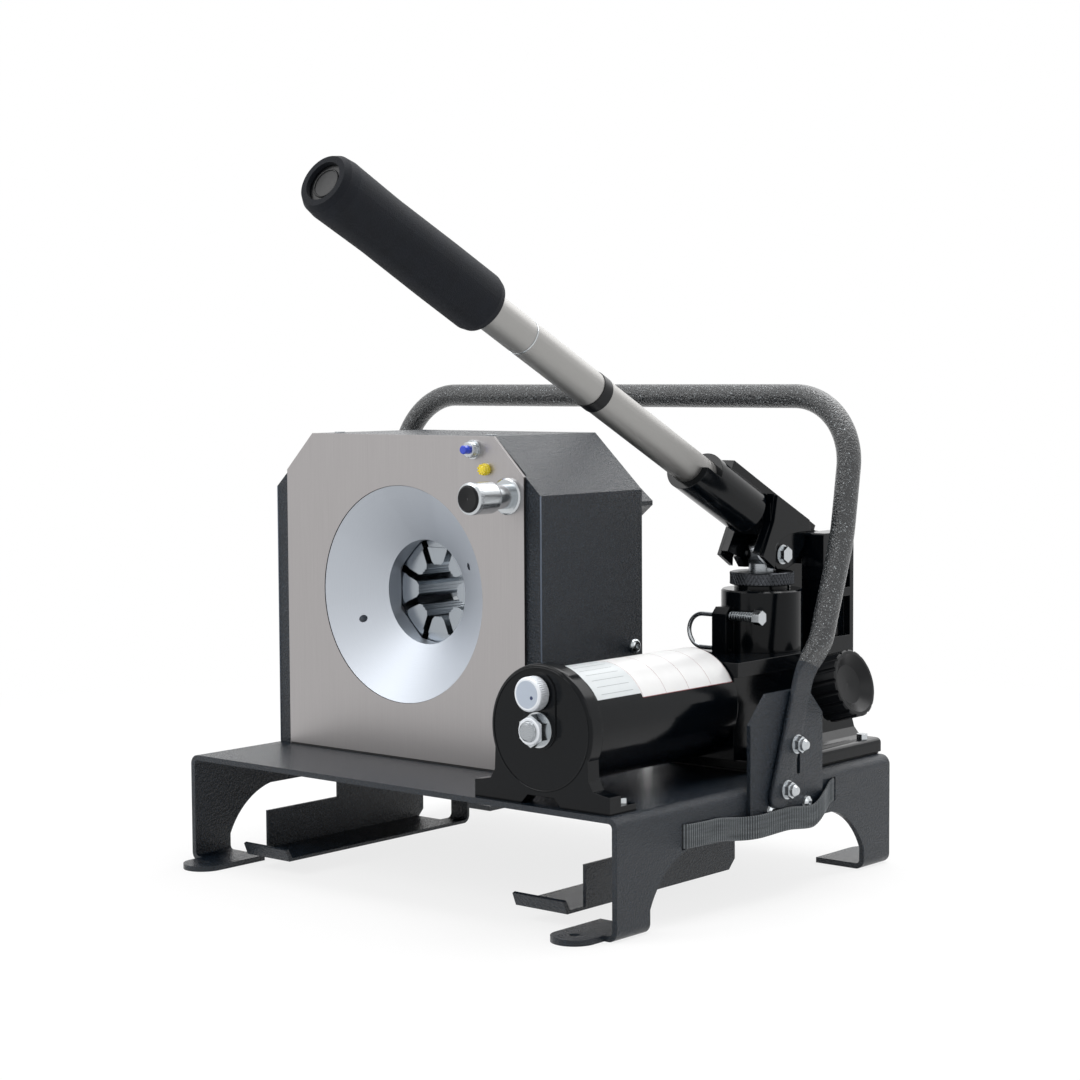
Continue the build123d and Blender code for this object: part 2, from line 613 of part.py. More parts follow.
def lever_yoke():
    socket = Cylinder(SOCKET_R, 74, align=(Align.CENTER, Align.CENTER, Align.MAX))
    lip = Cylinder(SOCKET_R, 26, align=(Align.CENTER, Align.CENTER, Align.MIN))
    frame = lever_frame()
    # the lower half of the socket reaches further out than the upper half
    down = 1 if frame.y_dir.Z < 0 else -1
    lip &= Pos(0, down * 13, 13) * Box(60, 24, 30)
    bar = Pos(0, -down * 19, -92) * Box(2 * TONGUE_HALF, 15, 146)
    yoke = frame.location * (Pos(0, 0, 4) * socket + lip + bar)
    tongue = [(58.4, 350), (60, 376), (150, 331), (187.4, 311.5), (206, 309.5), (212, 303), (212, 286),
              (204, 279.5), (170, 281), (140, 300), (136, 312), (104, 312), (100, 335)]
    yoke += plate_yz(tongue, PUMP_X - TONGUE_HALF, PUMP_X + TONGUE_HALF)
    cheek = [(107, 350), (156, 325.5), (158, 316), (156, 300), (140, 284), (127, 279.9), (112, 280.5),
             (104, 290), (84, 297), (101.6, 325)]
    pad = [(107, 349), (159, 323.5), (160.5, 313), (139, 313), (121, 311), (105, 303), (103, 282),
           (84, 293.5), (101.6, 325)]
    bridge = [(101, 342), (148, 325), (148, 314), (104, 314), (101.6, 325)]
    for s in (-1, 1):
        for outline, inside, outside in ((cheek, *CHEEK_X), (pad, CHEEK_X[1], CHEEK_PAD),
                                         (bridge, TONGUE_HALF - 1, CHEEK_X[1])):
            edges = sorted((PUMP_X + s * inside, PUMP_X + s * outside))
            yoke += plate_yz(outline, *edges)
        # the cheeks stay clear of the posts
        x = PUMP_X + s * (TONGUE_HALF + 0.9)
        yoke -= rod((x, FULCRUM_Y, FULCRUM_Z), (s, 0, 0), CHEEK_KEEP_OFF, 20)
    yoke -= rod((PUMP_X - 40, CYL_Y, PIN_Z), AXIS_X, PIN_R + 0.05, 80)
    yoke -= box(PUMP_X - 40, PUMP_X + 40, FULCRUM_Y - FULCRUM_R - SLOT_EASE, FULCRUM_Y + FULCRUM_R + SLOT_TRAVEL,
                FULCRUM_Z - FULCRUM_R - SLOT_EASE, FULCRUM_Z + FULCRUM_R + SLOT_EASE)
    bore = Pos(0, 0, -LEVER_IN) * Cylinder(LEVER_R, 2 * LEVER_IN, align=(Align.CENTER, Align.CENTER, Align.MIN))
    return yoke - frame.location * bore


def lever_tube():
    bore = LEVER_R - LEVER_WALL
    return lever_turned([(bore, -LEVER_IN), (LEVER_R, -LEVER_IN), (LEVER_R, LEVER_END), (bore, LEVER_END)])


def lever_grip():
    start = GRIP_START
    end = GRIP_END
    outline = [(LEVER_R, start), (20, start), (24, start + 3), (25.6, start + 9), (25.4, start + 60),
               (24.4, start + 130), (25.2, end - 14), (24.0, end - 5), (21, end), (16, end), (16, end - 8),
               (LEVER_R, end - 8)]
    return lever_turned(outline)


def grip_end_plug():
    bore = LEVER_R - LEVER_WALL
    return lever_turned([(0, LEVER_END - 12), (bore, LEVER_END - 12), (bore, LEVER_END), (LEVER_R, LEVER_END),
                         (LEVER_R, LEVER_END + 5), (0, LEVER_END + 5)])


def lever_band():
    outer = LEVER_R + 0.6
    return lever_turned([(LEVER_R, BAND_AT - 6), (outer, BAND_AT - 6), (outer, BAND_AT + 6), (LEVER_R, BAND_AT + 6)])


# Release valve

def knob_axis(sign=1):
    a = radians(KNOB_TILT)
    return (sign * cos(a), 0, sign * sin(a))


def knob_point(distance):
    x, y, z = KNOB_START
    a = radians(KNOB_TILT)
    return (x + distance * cos(a), y, z + distance * sin(a))


def release_stem():
    outline = [(0, -14), (5, -14), (5, 0.6), (7, 0.6), (7, 5), (5, 5), (5, 20), (0, 20)]
    return turned(KNOB_START, knob_axis(), outline)


def release_knob():
    lobes = 18
    start = knob_point(14.5)
    frame = Plane(origin=start, z_dir=knob_axis())
    dish = [(0, 0), (KNOB_R, 0), (KNOB_R, KNOB_L - 1), (KNOB_R - 1.5, KNOB_L), (KNOB_R - 4, KNOB_L),
            (18, KNOB_L - 7), (0, KNOB_L - 9)]
    knob = revolve(Plane.XZ * Polygon(*dish, align=None), Axis.Z)
    flute = Cylinder(2.6, KNOB_L + 2, align=(Align.CENTER, Align.CENTER, Align.MIN))
    for k in range(lobes):
        a = 2 * pi * k / lobes
        knob -= Pos((KNOB_R + 1.2) * cos(a), (KNOB_R + 1.2) * sin(a), -1) * flute
    knob -= Cylinder(5, 5.5, align=(Align.CENTER, Align.CENTER, Align.MIN))
    return frame.location * knob


# Spring pull pin

def pull_pin():
    top, low = PULL_Z
    turn = (top - low) / 2
    bend_x = PULL_X[0] + turn
    nut_x = PULL_X[1]
    wire = rod((bend_x, PULL_Y, top), AXIS_X, WIRE_R, nut_x + 8 - bend_x)
    wire += rod((bend_x, PULL_Y, low), AXIS_X, WIRE_R, 166 - bend_x)
    bend = Pos(bend_x, PULL_Y, (top + low) / 2) * (Rot(90, 0, 0) * Torus(turn, WIRE_R))
    bend &= box(PULL_X[0] - 10, bend_x, PULL_Y - 5, PULL_Y + 5, low - 5, top + 5)
    return wire + bend + hexagon((nut_x, PULL_Y, top), AXIS_X, 12, 8)


def pull_pin_spring():
    start = PUMP_X - 5
    return ring((start, PULL_Y, PULL_Z[0]), AXIS_X, 4.6, 2.6, PULL_X[1] - start)


def pump_bolts():
    bolts = []
    for s in (-1, 1):
        x = PUMP_X + s * (PAD_HALF - 9)
        bolts.append(hexagon((x, CAP_Y + CAP_T + 11, STAND_H + 6), AXIS_Z, 10, 5))
        for y in (60, 190):
            bolts.append(hexagon((x, y, FOOT_Z + FOOT_T), AXIS_Z, 10, 5))
    return joined(bolts)


def pressure_pipe():
    z = 150.0
    across = rod((60, 100, z), AXIS_X, 4, PUMP_X - BODY_HALF + 4 - 60 - 12)
    down = rod((60, 100, z), FRONT, 4, 50)
    return across + down + Pos(60, 100, z) * Sphere(4)


def pipe_fittings():
    z = 150.0
    x = PUMP_X - BODY_HALF + 4
    nut = hexagon((x - 12, 100, z), AXIS_X, 17, 12)
    bulkhead = hexagon((60, COVER_REAR - 2, z), AXIS_Y, 17, 9) - rod((60, COVER_REAR - 4, z), AXIS_Y, 4, 15)
    return joined([nut - rod((x - 14, 100, z), AXIS_X, 4, 8), bulkhead])


def pump_gasket():
    return soft_edges(box(PUMP_X - PAD_HALF + 2, PUMP_X + PAD_HALF - 2, 42, FOOT_REAR - 2, STAND_H, FOOT_Z), Axis.Z, 5)


# Carry handle

def carry_handle():
    lower = (LEG_X, 45, 175)
    knee = (LEG_X, 96, 300)
    top = (LEG_X, BAR_Y, BAR_Z)
    route = [lower, knee, top] + [(-x, y, z) for x, y, z in (top, knee, lower)]
    path = FilletPolyline(*route, radius=[150, 65, 65, 150])
    along = (Vector(*knee) - Vector(*lower)).normalized()
    start = Plane(origin=lower, z_dir=along)
    handle = sweep(start * (Circle(TUBE_R) - Circle(TUBE_R - TUBE_WALL)), path=path)
    flat = [(12, 86), (36, 82), (60, 168), (50, 184), (36, 180), (30, 156)]
    neck = [(34, 150), (56, 150), (64, 190), (40, 190)]
    # pressed flat at both ends, leaning forward to the two bolts
    for s in (-1, 1):
        x = s * (STAND_W / 2 + BRACKET_T)
        handle += plate_yz(flat, *sorted((x, x + s * 5)))
        shank = rod(Vector(s * LEG_X, 45, 175) - 20 * along, along, TUBE_R + 1.7, 45)
        handle += plate_yz(neck, *sorted((x, x + s * 16))) & shank
    return handle


def handle_brackets():
    outline = [(-25, 66), (-25, 157), (0, 182), (61, 182), (86, 157), (86, 66)]
    x0 = STAND_W / 2
    plate = plate_yz(outline, x0, x0 + BRACKET_T)
    plate -= box(x0 - 1, x0 + BRACKET_T + 1, 45.5, 50.5, 106, 130)
    return joined([plate, mirrored_x(plate)])


def handle_fasteners():
    pieces = []
    x0 = STAND_W / 2 + BRACKET_T
    for y, z in ((37.3, 134.3), (22.0, 95.8)):
        start = (x0 + 5, y, z)
        nut = ring(start, AXIS_X, 8.5, 3, 1.8)
        nut += hexagon((x0 + 6.8, y, z), AXIS_X, 13, 5)
        nut += turned((x0 + 11.8, y, z), AXIS_X, [(0, 0), (5.6, 0), (5.2, 3), (3.6, 5.2), (0, 6)])
        pieces.append(nut)
    for y in (6, 61):
        pieces.append(turned((x0, y, 78), AXIS_X, [(0, 0), (6.5, 0), (6, 2), (4, 3.6), (2, 3.6), (2, 2), (0, 2)]))
    return joined(pieces + [mirrored_x(p) for p in pieces])


def tie_strap():
    x0 = STAND_W / 2
    (front, front_z), (rear, rear_z) = STRAP_SLOTS
    half = STRAP_T / 2
    # from above: in through both slots, standing off over the bracket's screws
    inner = [(-SHEET - 5, front + half), (0.3, front + half), (0.3, -36), (STRAP_BULGE, -22),
             (STRAP_BULGE, 78), (0.3, 98), (0.3, rear - half), (-SHEET - 5, rear - half)]
    outer = [(-SHEET - 5, front - half), (0.3 + STRAP_T, front - half), (0.3 + STRAP_T, -37),
             (STRAP_BULGE + STRAP_T, -23), (STRAP_BULGE + STRAP_T, 79), (0.3 + STRAP_T, 99),
             (0.3 + STRAP_T, rear + half), (-SHEET - 5, rear + half)]
    outline = [(x0 + x, y) for x, y in inner + outer[::-1]]
    band = extrude(Pos(0, 0, 40) * Polygon(*outline, align=None), 70, dir=AXIS_Z)
    # from the side: it sags between the slots
    lower = [(front - 3, front_z + 0.5), (-75, 62.5), (-30, 58.5), (20, 59.5), (59.5, 56.0), (88, 65),
             (rear - 5, rear_z + 0.5), (rear + 3, rear_z + 0.8)]
    upper = [(y, z + STRAP_SLOT_H - 1) for y, z in lower]
    side = x0 - 12
    low_edge = Spline(*[(side, y, z) for y, z in lower])
    high_edge = Spline(*[(side, y, z) for y, z in upper])
    ends = [Line(low_edge @ 0, high_edge @ 0), Line(low_edge @ 1, high_edge @ 1)]
    return band & extrude(make_face([low_edge, high_edge] + ends), 40, dir=AXIS_X)


NODES = {
    "base_stand": base_stand,
    "tray_rail_left": tray_rail,
    "tray_rail_right": lambda: mirrored_x(tray_rail()),
    "front_panel": front_panel,
    "casing_cover": casing_cover,
    "casing_rear_panel": casing_rear_panel,
    "casing_screws": casing_screws,
    "front_flange": front_flange,
    "head_housing": head_housing,
    "head_saddle": head_saddle,
    "tie_bolts": tie_bolts,
    "ram_piston": ram_piston,
    "piston_seals": piston_seals,
    "return_springs": return_springs,
    "micrometer_bezel": micrometer_bezel,
    "micrometer_barrel": micrometer_barrel,
    "micrometer_thimble": micrometer_thimble,
    "micrometer_end_plug": micrometer_end_plug,
    "micrometer_spindle": micrometer_spindle,
    "limit_switch": limit_switch,
    "switch_housing": switch_housing,
    "button_bush": button_bush,
    "test_button": test_button,
    "lamp_lens": lamp_lens,
    "reservoir_tube": reservoir_tube,
    "reservoir_cap": reservoir_cap,
    "tie_rod": tie_rod,
    "tie_rod_nut": tie_rod_nut,
    "vent_knob": vent_knob,
    "pump_body": pump_body,
    "pump_cylinder": pump_cylinder,
    "gland_nut": gland_nut,
    "plunger": plunger,
    "plunger_pin": plunger_pin,
    "fulcrum_pin": fulcrum_pin,
    "lever_yoke": lever_yoke,
    "lever_tube": lever_tube,
    "lever_grip": lever_grip,
    "grip_end_plug": grip_end_plug,
    "lever_band": lever_band,
    "release_stem": release_stem,
    "release_knob": release_knob,
    "pull_pin": pull_pin,
    "pull_pin_spring": pull_pin_spring,
    "pump_bolts": pump_bolts,
    "pump_gasket": pump_gasket,
    "pressure_pipe": pressure_pipe,
    "pipe_fittings": pipe_fittings,
    "carry_handle": carry_handle,
    "handle_brackets": handle_brackets,
    "handle_fasteners": handle_fasteners,
    "tie_strap": tie_strap,
}

os.makedirs("parts", exist_ok=True)
for name, make in NODES.items():
    export_step(make(), f"parts/{name}.step")
for k in range(DIES):
    export_step(master_die(k), f"parts/master_die_{k + 1}.step")
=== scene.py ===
import json
from math import ceil, copysign, cos, pi, radians, sin, tan, tau

import bmesh
import bpy
from mathutils import Matrix, Vector


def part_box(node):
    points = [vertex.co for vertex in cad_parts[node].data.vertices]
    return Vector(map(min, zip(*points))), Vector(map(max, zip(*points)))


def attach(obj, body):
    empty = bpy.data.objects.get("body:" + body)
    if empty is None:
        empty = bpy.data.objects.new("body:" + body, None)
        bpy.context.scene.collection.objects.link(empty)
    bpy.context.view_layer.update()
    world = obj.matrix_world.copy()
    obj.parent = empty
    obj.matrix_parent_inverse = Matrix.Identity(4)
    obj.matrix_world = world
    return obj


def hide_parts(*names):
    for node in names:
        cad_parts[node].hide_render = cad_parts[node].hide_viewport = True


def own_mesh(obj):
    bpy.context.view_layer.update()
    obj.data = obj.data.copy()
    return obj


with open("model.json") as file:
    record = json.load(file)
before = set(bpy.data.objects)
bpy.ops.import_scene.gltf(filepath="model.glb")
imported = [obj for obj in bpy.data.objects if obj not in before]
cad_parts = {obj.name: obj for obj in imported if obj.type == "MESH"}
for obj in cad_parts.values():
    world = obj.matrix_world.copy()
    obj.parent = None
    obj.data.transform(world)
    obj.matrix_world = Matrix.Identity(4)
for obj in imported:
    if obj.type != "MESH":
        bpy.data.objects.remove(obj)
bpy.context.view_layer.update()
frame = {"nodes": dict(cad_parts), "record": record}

nodes = frame["nodes"]
scene = bpy.context.scene
mm = 0.001


# Small helpers

def hexColor(code):
    values = []
    for i in (1, 3, 5):
        c = int(code[i:i + 2], 16) / 255
        values.append(c / 12.92 if c <= 0.04045 else ((c + 0.055) / 1.055) ** 2.4)
    return (*values, 1.0)


def addNode(tree, kind, settings=None, inputs=None):
    added = tree.nodes.new(kind)
    for key, value in (settings or {}).items():
        setattr(added, key, value)
    for key, value in (inputs or {}).items():
        if isinstance(value, bpy.types.NodeSocket):
            tree.links.new(value, added.inputs[key])
        else:
            added.inputs[key].default_value = value
    return added


def maths(tree, operation, *values):
    return addNode(tree, "ShaderNodeMath", {"operation": operation},
                   dict(enumerate(values))).outputs[0]


def noise(tree, place, scale, detail, **more):
    return addNode(tree, "ShaderNodeTexNoise",
                   inputs={"Vector": place, "Scale": scale, "Detail": detail, **more}).outputs[0]


def mixColours(tree, share, first, second):
    return addNode(tree, "ShaderNodeMix", {"data_type": "RGBA"},
                   {0: share, 6: first, 7: second}).outputs[2]


def toRange(tree, value, low, high):
    return addNode(tree, "ShaderNodeMapRange",
                   inputs={"Value": value, "To Min": low, "To Max": high}).outputs[0]


def fromRange(tree, value, low, high):
    return addNode(tree, "ShaderNodeMapRange",
                   inputs={"Value": value, "From Min": low, "From Max": high}).outputs[0]


def softEdges(tree, radius, samples=4):
    # a normal that rounds every edge by the radius
    return addNode(tree, "ShaderNodeBevel", {"samples": samples},
                   {"Radius": radius * mm}).outputs[0]


def relief(tree, height, strength, depth, normal=None):
    inputs = {"Height": height, "Strength": strength, "Distance": depth * mm}
    if normal is not None:
        inputs["Normal"] = normal
    return addNode(tree, "ShaderNodeBump", inputs=inputs).outputs[0]


def startMaterial(name):
    material = bpy.data.materials.new(name)
    material.use_nodes = True
    material.node_tree.nodes.clear()
    tree = material.node_tree
    place = addNode(tree, "ShaderNodeTexCoord").outputs["Object"]
    return material, tree, place


def finishMaterial(tree, inputs):
    shader = addNode(tree, "ShaderNodeBsdfPrincipled", inputs=inputs)
    addNode(tree, "ShaderNodeOutputMaterial", inputs={"Surface": shader.outputs[0]})


def perMm(size):
    # texture scale that gives one cell for each size in millimetres
    return 1000 / size


def shaded(colour, factor):
    return [min(1.0, c * factor) for c in colour[:3]] + [1.0]


def middle(name):
    low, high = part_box(name)
    return (low + high) / 2


# Materials

def hammertonePaint(name, dark, light, cell, fleck, dimple, roughness, spots=(0.5, 0.72),
                    gloss=0.5):
    # stoved hammer-finish enamel: dimpled like orange peel, so highlights break into glints; a
    # bright light colour in the flecks adds painted glints
    material, tree, place = startMaterial(name)
    dimples = addNode(tree, "ShaderNodeTexVoronoi", {"feature": "SMOOTH_F1"},
                      {"Vector": place, "Scale": perMm(cell), "Smoothness": 0.5})
    flecksAndGlints = noise(tree, place, perMm(fleck), 3.0, Roughness=0.7)
    # the flecks mix in the light colour: a tone change when it is dark, painted glints when it
    # is bright, as on the handle
    colour = mixColours(tree, fromRange(tree, flecksAndGlints, *spots), hexColor(dark), hexColor(light))
    height = maths(tree, "ADD", dimples.outputs["Distance"], flecksAndGlints)
    finishMaterial(tree, {"Base Color": colour, "Roughness": roughness,
                          "Specular IOR Level": gloss,
                          "Normal": relief(tree, height, dimple, 0.7, softEdges(tree, 0.9))})
    return material


def brushedSteel(name, colour, along, grit=0.25, stroke=60, roughness=0.32, bevel=0.3,
                 edge=1.0):
    # steel brushed along one axis: fine parallel scratches that draw the light out; faces that
    # point neither front nor rear, such as a sheet's cut edges, get painted shade, darker by the
    # factor edge
    material, tree, place = startMaterial(name)
    stretch = [perMm(grit)] * 3
    stretch["XYZ".index(along)] = perMm(stroke)
    mapped = addNode(tree, "ShaderNodeMapping", inputs={"Vector": place, "Scale": stretch})
    scratches = noise(tree, mapped.outputs[0], 1.0, 4.0)
    base = hexColor(colour)
    tint = mixColours(tree, scratches, shaded(base, 0.86), shaded(base, 1.13))
    # painted shade: colour darkened on faces that turn away from front and rear
    if edge < 1:
        facing = addNode(tree, "ShaderNodeNewGeometry").outputs["True Normal"]
        parts = addNode(tree, "ShaderNodeSeparateXYZ", inputs={"Vector": facing})
        flat = maths(tree, "ABSOLUTE", parts.outputs["Y"])
        tint = mixColours(tree, flat, shaded(base, edge), tint)
    rough = toRange(tree, scratches, roughness - 0.05, roughness + 0.1)
    normal = relief(tree, scratches, 0.12, 0.05, softEdges(tree, bevel))
    finishMaterial(tree, {"Base Color": tint, "Metallic": 1.0, "Roughness": rough,
                          "Normal": normal})
    return material


def turnedMetal(name, colour, centre, pitch=0.35, roughness=0.55, anisotropic=0.15):
    # faced on a lathe about Y: rings of tool marks that gather light into two opposite cones
    material, tree, place = startMaterial(name)
    out = addNode(tree, "ShaderNodeVectorMath", {"operation": "SUBTRACT"}, {0: place, 1: centre})
    parts = addNode(tree, "ShaderNodeSeparateXYZ", inputs={0: out.outputs[0]}).outputs
    flat = addNode(tree, "ShaderNodeCombineXYZ", inputs={"X": parts["X"], "Z": parts["Z"]})
    radius = addNode(tree, "ShaderNodeVectorMath", {"operation": "LENGTH"}, {0: flat.outputs[0]})
    tangent = addNode(tree, "ShaderNodeCombineXYZ",
                      inputs={"X": parts["Z"], "Z": maths(tree, "MULTIPLY", parts["X"], -1.0)})
    rings = addNode(tree, "ShaderNodeTexNoise", {"noise_dimensions": "1D"},
                    {"W": radius.outputs["Value"], "Scale": perMm(pitch), "Detail": 3.0})
    base = hexColor(colour)
    tint = mixColours(tree, rings.outputs[0], shaded(base, 0.88), shaded(base, 1.1))
    finishMaterial(tree, {"Base Color": tint, "Metallic": 1.0, "Roughness": roughness,
                          "Anisotropic": anisotropic, "Tangent": tangent.outputs[0],
                          "Normal": relief(tree, rings.outputs[0], 0.2, 0.05)})
    return material


def enamel(name, colour, roughness=0.1, bevel=0.8):
    # stoved gloss enamel over a casting: slightly wavy, soft at the edges
    material, tree, place = startMaterial(name)
    waves = noise(tree, place, perMm(9), 2.0)
    cloud = noise(tree, place, perMm(30), 4.0)
    rough = toRange(tree, cloud, roughness - 0.04, roughness + 0.1)
    normal = relief(tree, waves, 0.15, 0.4, softEdges(tree, bevel, samples=6))
    finishMaterial(tree, {"Base Color": hexColor(colour), "Roughness": rough,
                          "Specular IOR Level": 0.19, "Normal": normal})
    return material


def anodised(name, colour):
    # drawn aluminium tube, satin anodised: an even frosted sheen with faint cloudiness
    material, tree, place = startMaterial(name)
    rough = toRange(tree, noise(tree, place, perMm(4), 3.0), 0.44, 0.5)
    finishMaterial(tree, {"Base Color": hexColor(colour), "Metallic": 1.0, "Roughness": rough})
    return material


def zincPlate(name, colour, roughness=0.2):
    # bright zinc plating on turned steel: cool, clean, slightly cloudy
    material, tree, place = startMaterial(name)
    cloud = noise(tree, place, perMm(3), 4.0)
    rough = toRange(tree, cloud, roughness - 0.07, roughness + 0.12)
    finishMaterial(tree, {"Base Color": hexColor(colour), "Metallic": 1.0, "Roughness": rough,
                          "Normal": softEdges(tree, 0.3)})
    return material


def moulded(name, colour, roughness=0.4, grain=0.7, depth=0.25, coat=0.0, gloss=0.5):
    # injection-moulded plastic with a fine spark-eroded grain
    material, tree, place = startMaterial(name)
    spots = noise(tree, place, perMm(grain), 3.0)
    normal = relief(tree, spots, depth, 0.08, softEdges(tree, 0.4))
    finishMaterial(tree, {"Base Color": hexColor(colour), "Roughness": roughness,
                          "Coat Weight": coat, "Specular IOR Level": gloss, "Normal": normal})
    return material


def nitrileFoam(name, dark, light):
    # closed-cell nitrile foam: dull, dry, with pores that catch a little light
    material, tree, place = startMaterial(name)
    pores = addNode(tree, "ShaderNodeTexVoronoi", inputs={"Vector": place, "Scale": perMm(0.9)})
    cloud = noise(tree, place, perMm(14), 5.0)
    finishMaterial(tree, {"Base Color": mixColours(tree, cloud, hexColor(dark), hexColor(light)),
                          "Roughness": 0.85, "Specular IOR Level": 0.3, "Sheen Weight": 0.03,
                          "Sheen Roughness": 0.5,
                          "Normal": relief(tree, pores.outputs["Distance"], 0.6, 0.3)})
    return material


def webbing(name, dark, light, yarn, rib):
    # woven polypropylene: matt yarn in fine lengthwise threads, with painted shade between the
    # ribs
    material, tree, place = startMaterial(name)
    own = addNode(tree, "ShaderNodeUVMap", {"uv_map": "along"}).outputs[0]
    mapped = addNode(tree, "ShaderNodeMapping",
                     inputs={"Vector": own, "Scale": (30, perMm(yarn), 1)})
    threads = noise(tree, mapped.outputs[0], 1.0, 3.0)
    both = maths(tree, "MULTIPLY", threads, noise(tree, place, perMm(0.5), 2.0))
    # painted shade: a wave darkens the colour between the ribs, where the grooves lie in shade
    # at scale 1 a wave texture repeats 20 times in a length of tau
    ribShade = addNode(tree, "ShaderNodeTexWave",
                   {"wave_type": "BANDS", "bands_direction": "X", "wave_profile": "SIN"},
                   {"Vector": own, "Scale": perMm(rib) * tau / 20, "Phase Offset": pi})
    lit = maths(tree, "MULTIPLY", both, ribShade.outputs["Fac"])
    colour = mixColours(tree, fromRange(tree, lit, 0.0, 0.34), hexColor(dark), hexColor(light))
    finishMaterial(tree, {"Base Color": colour, "Roughness": 0.8, "Sheen Weight": 0.2,
                          "Normal": relief(tree, both, 0.5, 0.3)})
    return material


def printedVinyl(name, colour, roughness=0.35):
    # matt-laminated vinyl: an even tint with a slight ripple where it is rubbed down
    material, tree, place = startMaterial(name)
    ripple = noise(tree, place, perMm(12), 3.0)
    base = hexColor(colour)
    tint = mixColours(tree, ripple, shaded(base, 0.95), shaded(base, 1.03))
    finishMaterial(tree, {"Base Color": tint, "Roughness": roughness,
                          "Normal": relief(tree, ripple, 0.1, 0.3)})
    return material


made = {
    "hammertone_paint": hammertonePaint("hammerEnamelFine", "#0d151e", "#2c3a47", 2.1, 0.9, 0.85,
                                        0.22, gloss=0.36),
    # painted glints: the handle's bright flecks, #c0c8cc, stand for sparkles of light on its
    # dark paint
    "handle_paint": hammertonePaint("hammerEnamelPaintedGlints", "#0c1115", "#c0c8cc", 2.0, 1.4, 1.0,
                                    0.1, spots=(0.59, 0.7), gloss=0.8),
    # painted shade: the panel's faces that point neither front nor rear are darkened to 0.4
    "brushed_panel": brushedSteel("brushedStainless", "#a6a3a3", "Z", edge=0.4),
    # painted highlight: this light enamel goes on the cover's front bends for the light they
    # catch
    "bend_highlight_paint": enamel("bendHighlightEnamel", "#5c6573", 0.32, bevel=0.2),
    "turned_aluminium": turnedMetal("turnedAluminium", "#bec3ca", middle("head_housing")),
    "machined_steel": brushedSteel("groundSteel", "#a2a6aa", "X", roughness=0.25),
    "die_steel": brushedSteel("hardenedDieSteel", "#9da3a9", "Y", roughness=0.22, bevel=0.5),
    "black_enamel": enamel("stovedBlackEnamel", "#04070b"),
    "lever_aluminium": anodised("satinAnodisedAluminium", "#a09f9d"),
    "foam_grip": nitrileFoam("nitrileFoam", "#070a10", "#0f141d"),
    "zinc": zincPlate("brightZincPlate", "#bfc3c6"),
    "satin": zincPlate("blastedAluminium", "#dfe2e6", 0.62),
    "blackened": brushedSteel("blackenedSteel", "#484a4e", "Z", roughness=0.33),
    "knob_plastic": moulded("blackNylon", "#090b0e", 0.34, gloss=0.25),
    "blue_plastic": moulded("blueAcetal", "#1b3fc4", 0.25, depth=0.1, coat=0.5),
    "yellow_lens": moulded("yellowPolycarbonate", "#f0d70a", 0.15, depth=0.05, coat=0.6),
    "webbing": webbing("polypropyleneWebbing", "#1c2023", "#70767a", 1.6, 2.7),
    "seal_rubber": moulded("nitrileRubber", "#151515", 0.7),
    "spring_steel": brushedSteel("springSteel", "#8d9296", "X", roughness=0.3),
}
paper = printedVinyl("whiteVinyl", "#ececec")
paperCool = printedVinyl("coolWhiteVinyl", "#d7dcde")
redInk = printedVinyl("redInk", "#7d2a2c")
greyInk = printedVinyl("greyInk", "#9a9fa3")
faceInk = printedVinyl("silverVinyl", "#b3bdcb", roughness=0.3)
dotInk = printedVinyl("navyInk", "#1d2a55")

slotOf = {row["node"]: row["material_slot"] for row in frame["record"]["subparts"]}
slotOf["gland_nut"] = "blackened"  # the plating on the gland is blacked, not bright
slotOf["vent_knob"] = "satin"  # the knob is blasted, so it doesn't mirror the black cap
for nodeName, cad in nodes.items():
    cad.data.materials.clear()
    cad.data.materials.append(made[slotOf[nodeName]])
print("stage: finishes on", len(nodes), "sub-parts")


# Grown pieces: knurls, coils and threads

def startTree(name, inputs):
    tree = bpy.data.node_groups.new(name, "GeometryNodeTree")
    tree.interface.new_socket(name="Geometry", in_out="OUTPUT",
                              socket_type="NodeSocketGeometry")
    for label, kind in inputs:
        tree.interface.new_socket(name=label, in_out="INPUT", socket_type="NodeSocket" + kind)
    return tree, addNode(tree, "NodeGroupInput").outputs


def finishTree(tree, points, turn, piece, finish):
    # sets the piece on every point, and makes one mesh of them in the finish
    spread = addNode(tree, "GeometryNodeInstanceOnPoints",
                     inputs={"Points": points, "Instance": piece, "Rotation": turn})
    whole = addNode(tree, "GeometryNodeRealizeInstances",
                    inputs={"Geometry": spread.outputs[0]})
    dressed = addNode(tree, "GeometryNodeSetMaterial",
                      inputs={"Geometry": whole.outputs[0], "Material": finish})
    addNode(tree, "NodeGroupOutput", inputs={"Geometry": dressed.outputs[0]})
    return tree


def spacedRound(tree, given):
    # points evenly round a circle in XY, with the turn of each
    index = addNode(tree, "GeometryNodeInputIndex").outputs[0]
    angle = maths(tree, "MULTIPLY", index, maths(tree, "DIVIDE", tau, given["Count"]))
    unit = addNode(tree, "ShaderNodeCombineXYZ",
                   inputs={"X": maths(tree, "COSINE", angle), "Y": maths(tree, "SINE", angle)})
    place = addNode(tree, "ShaderNodeVectorMath", {"operation": "SCALE"},
                    {0: unit.outputs[0], "Scale": given["Ring"]})
    points = addNode(tree, "GeometryNodePoints",
                     inputs={"Count": given["Count"], "Position": place.outputs[0]})
    turn = addNode(tree, "ShaderNodeCombineXYZ", inputs={"Z": angle})
    return points.outputs[0], turn.outputs[0]


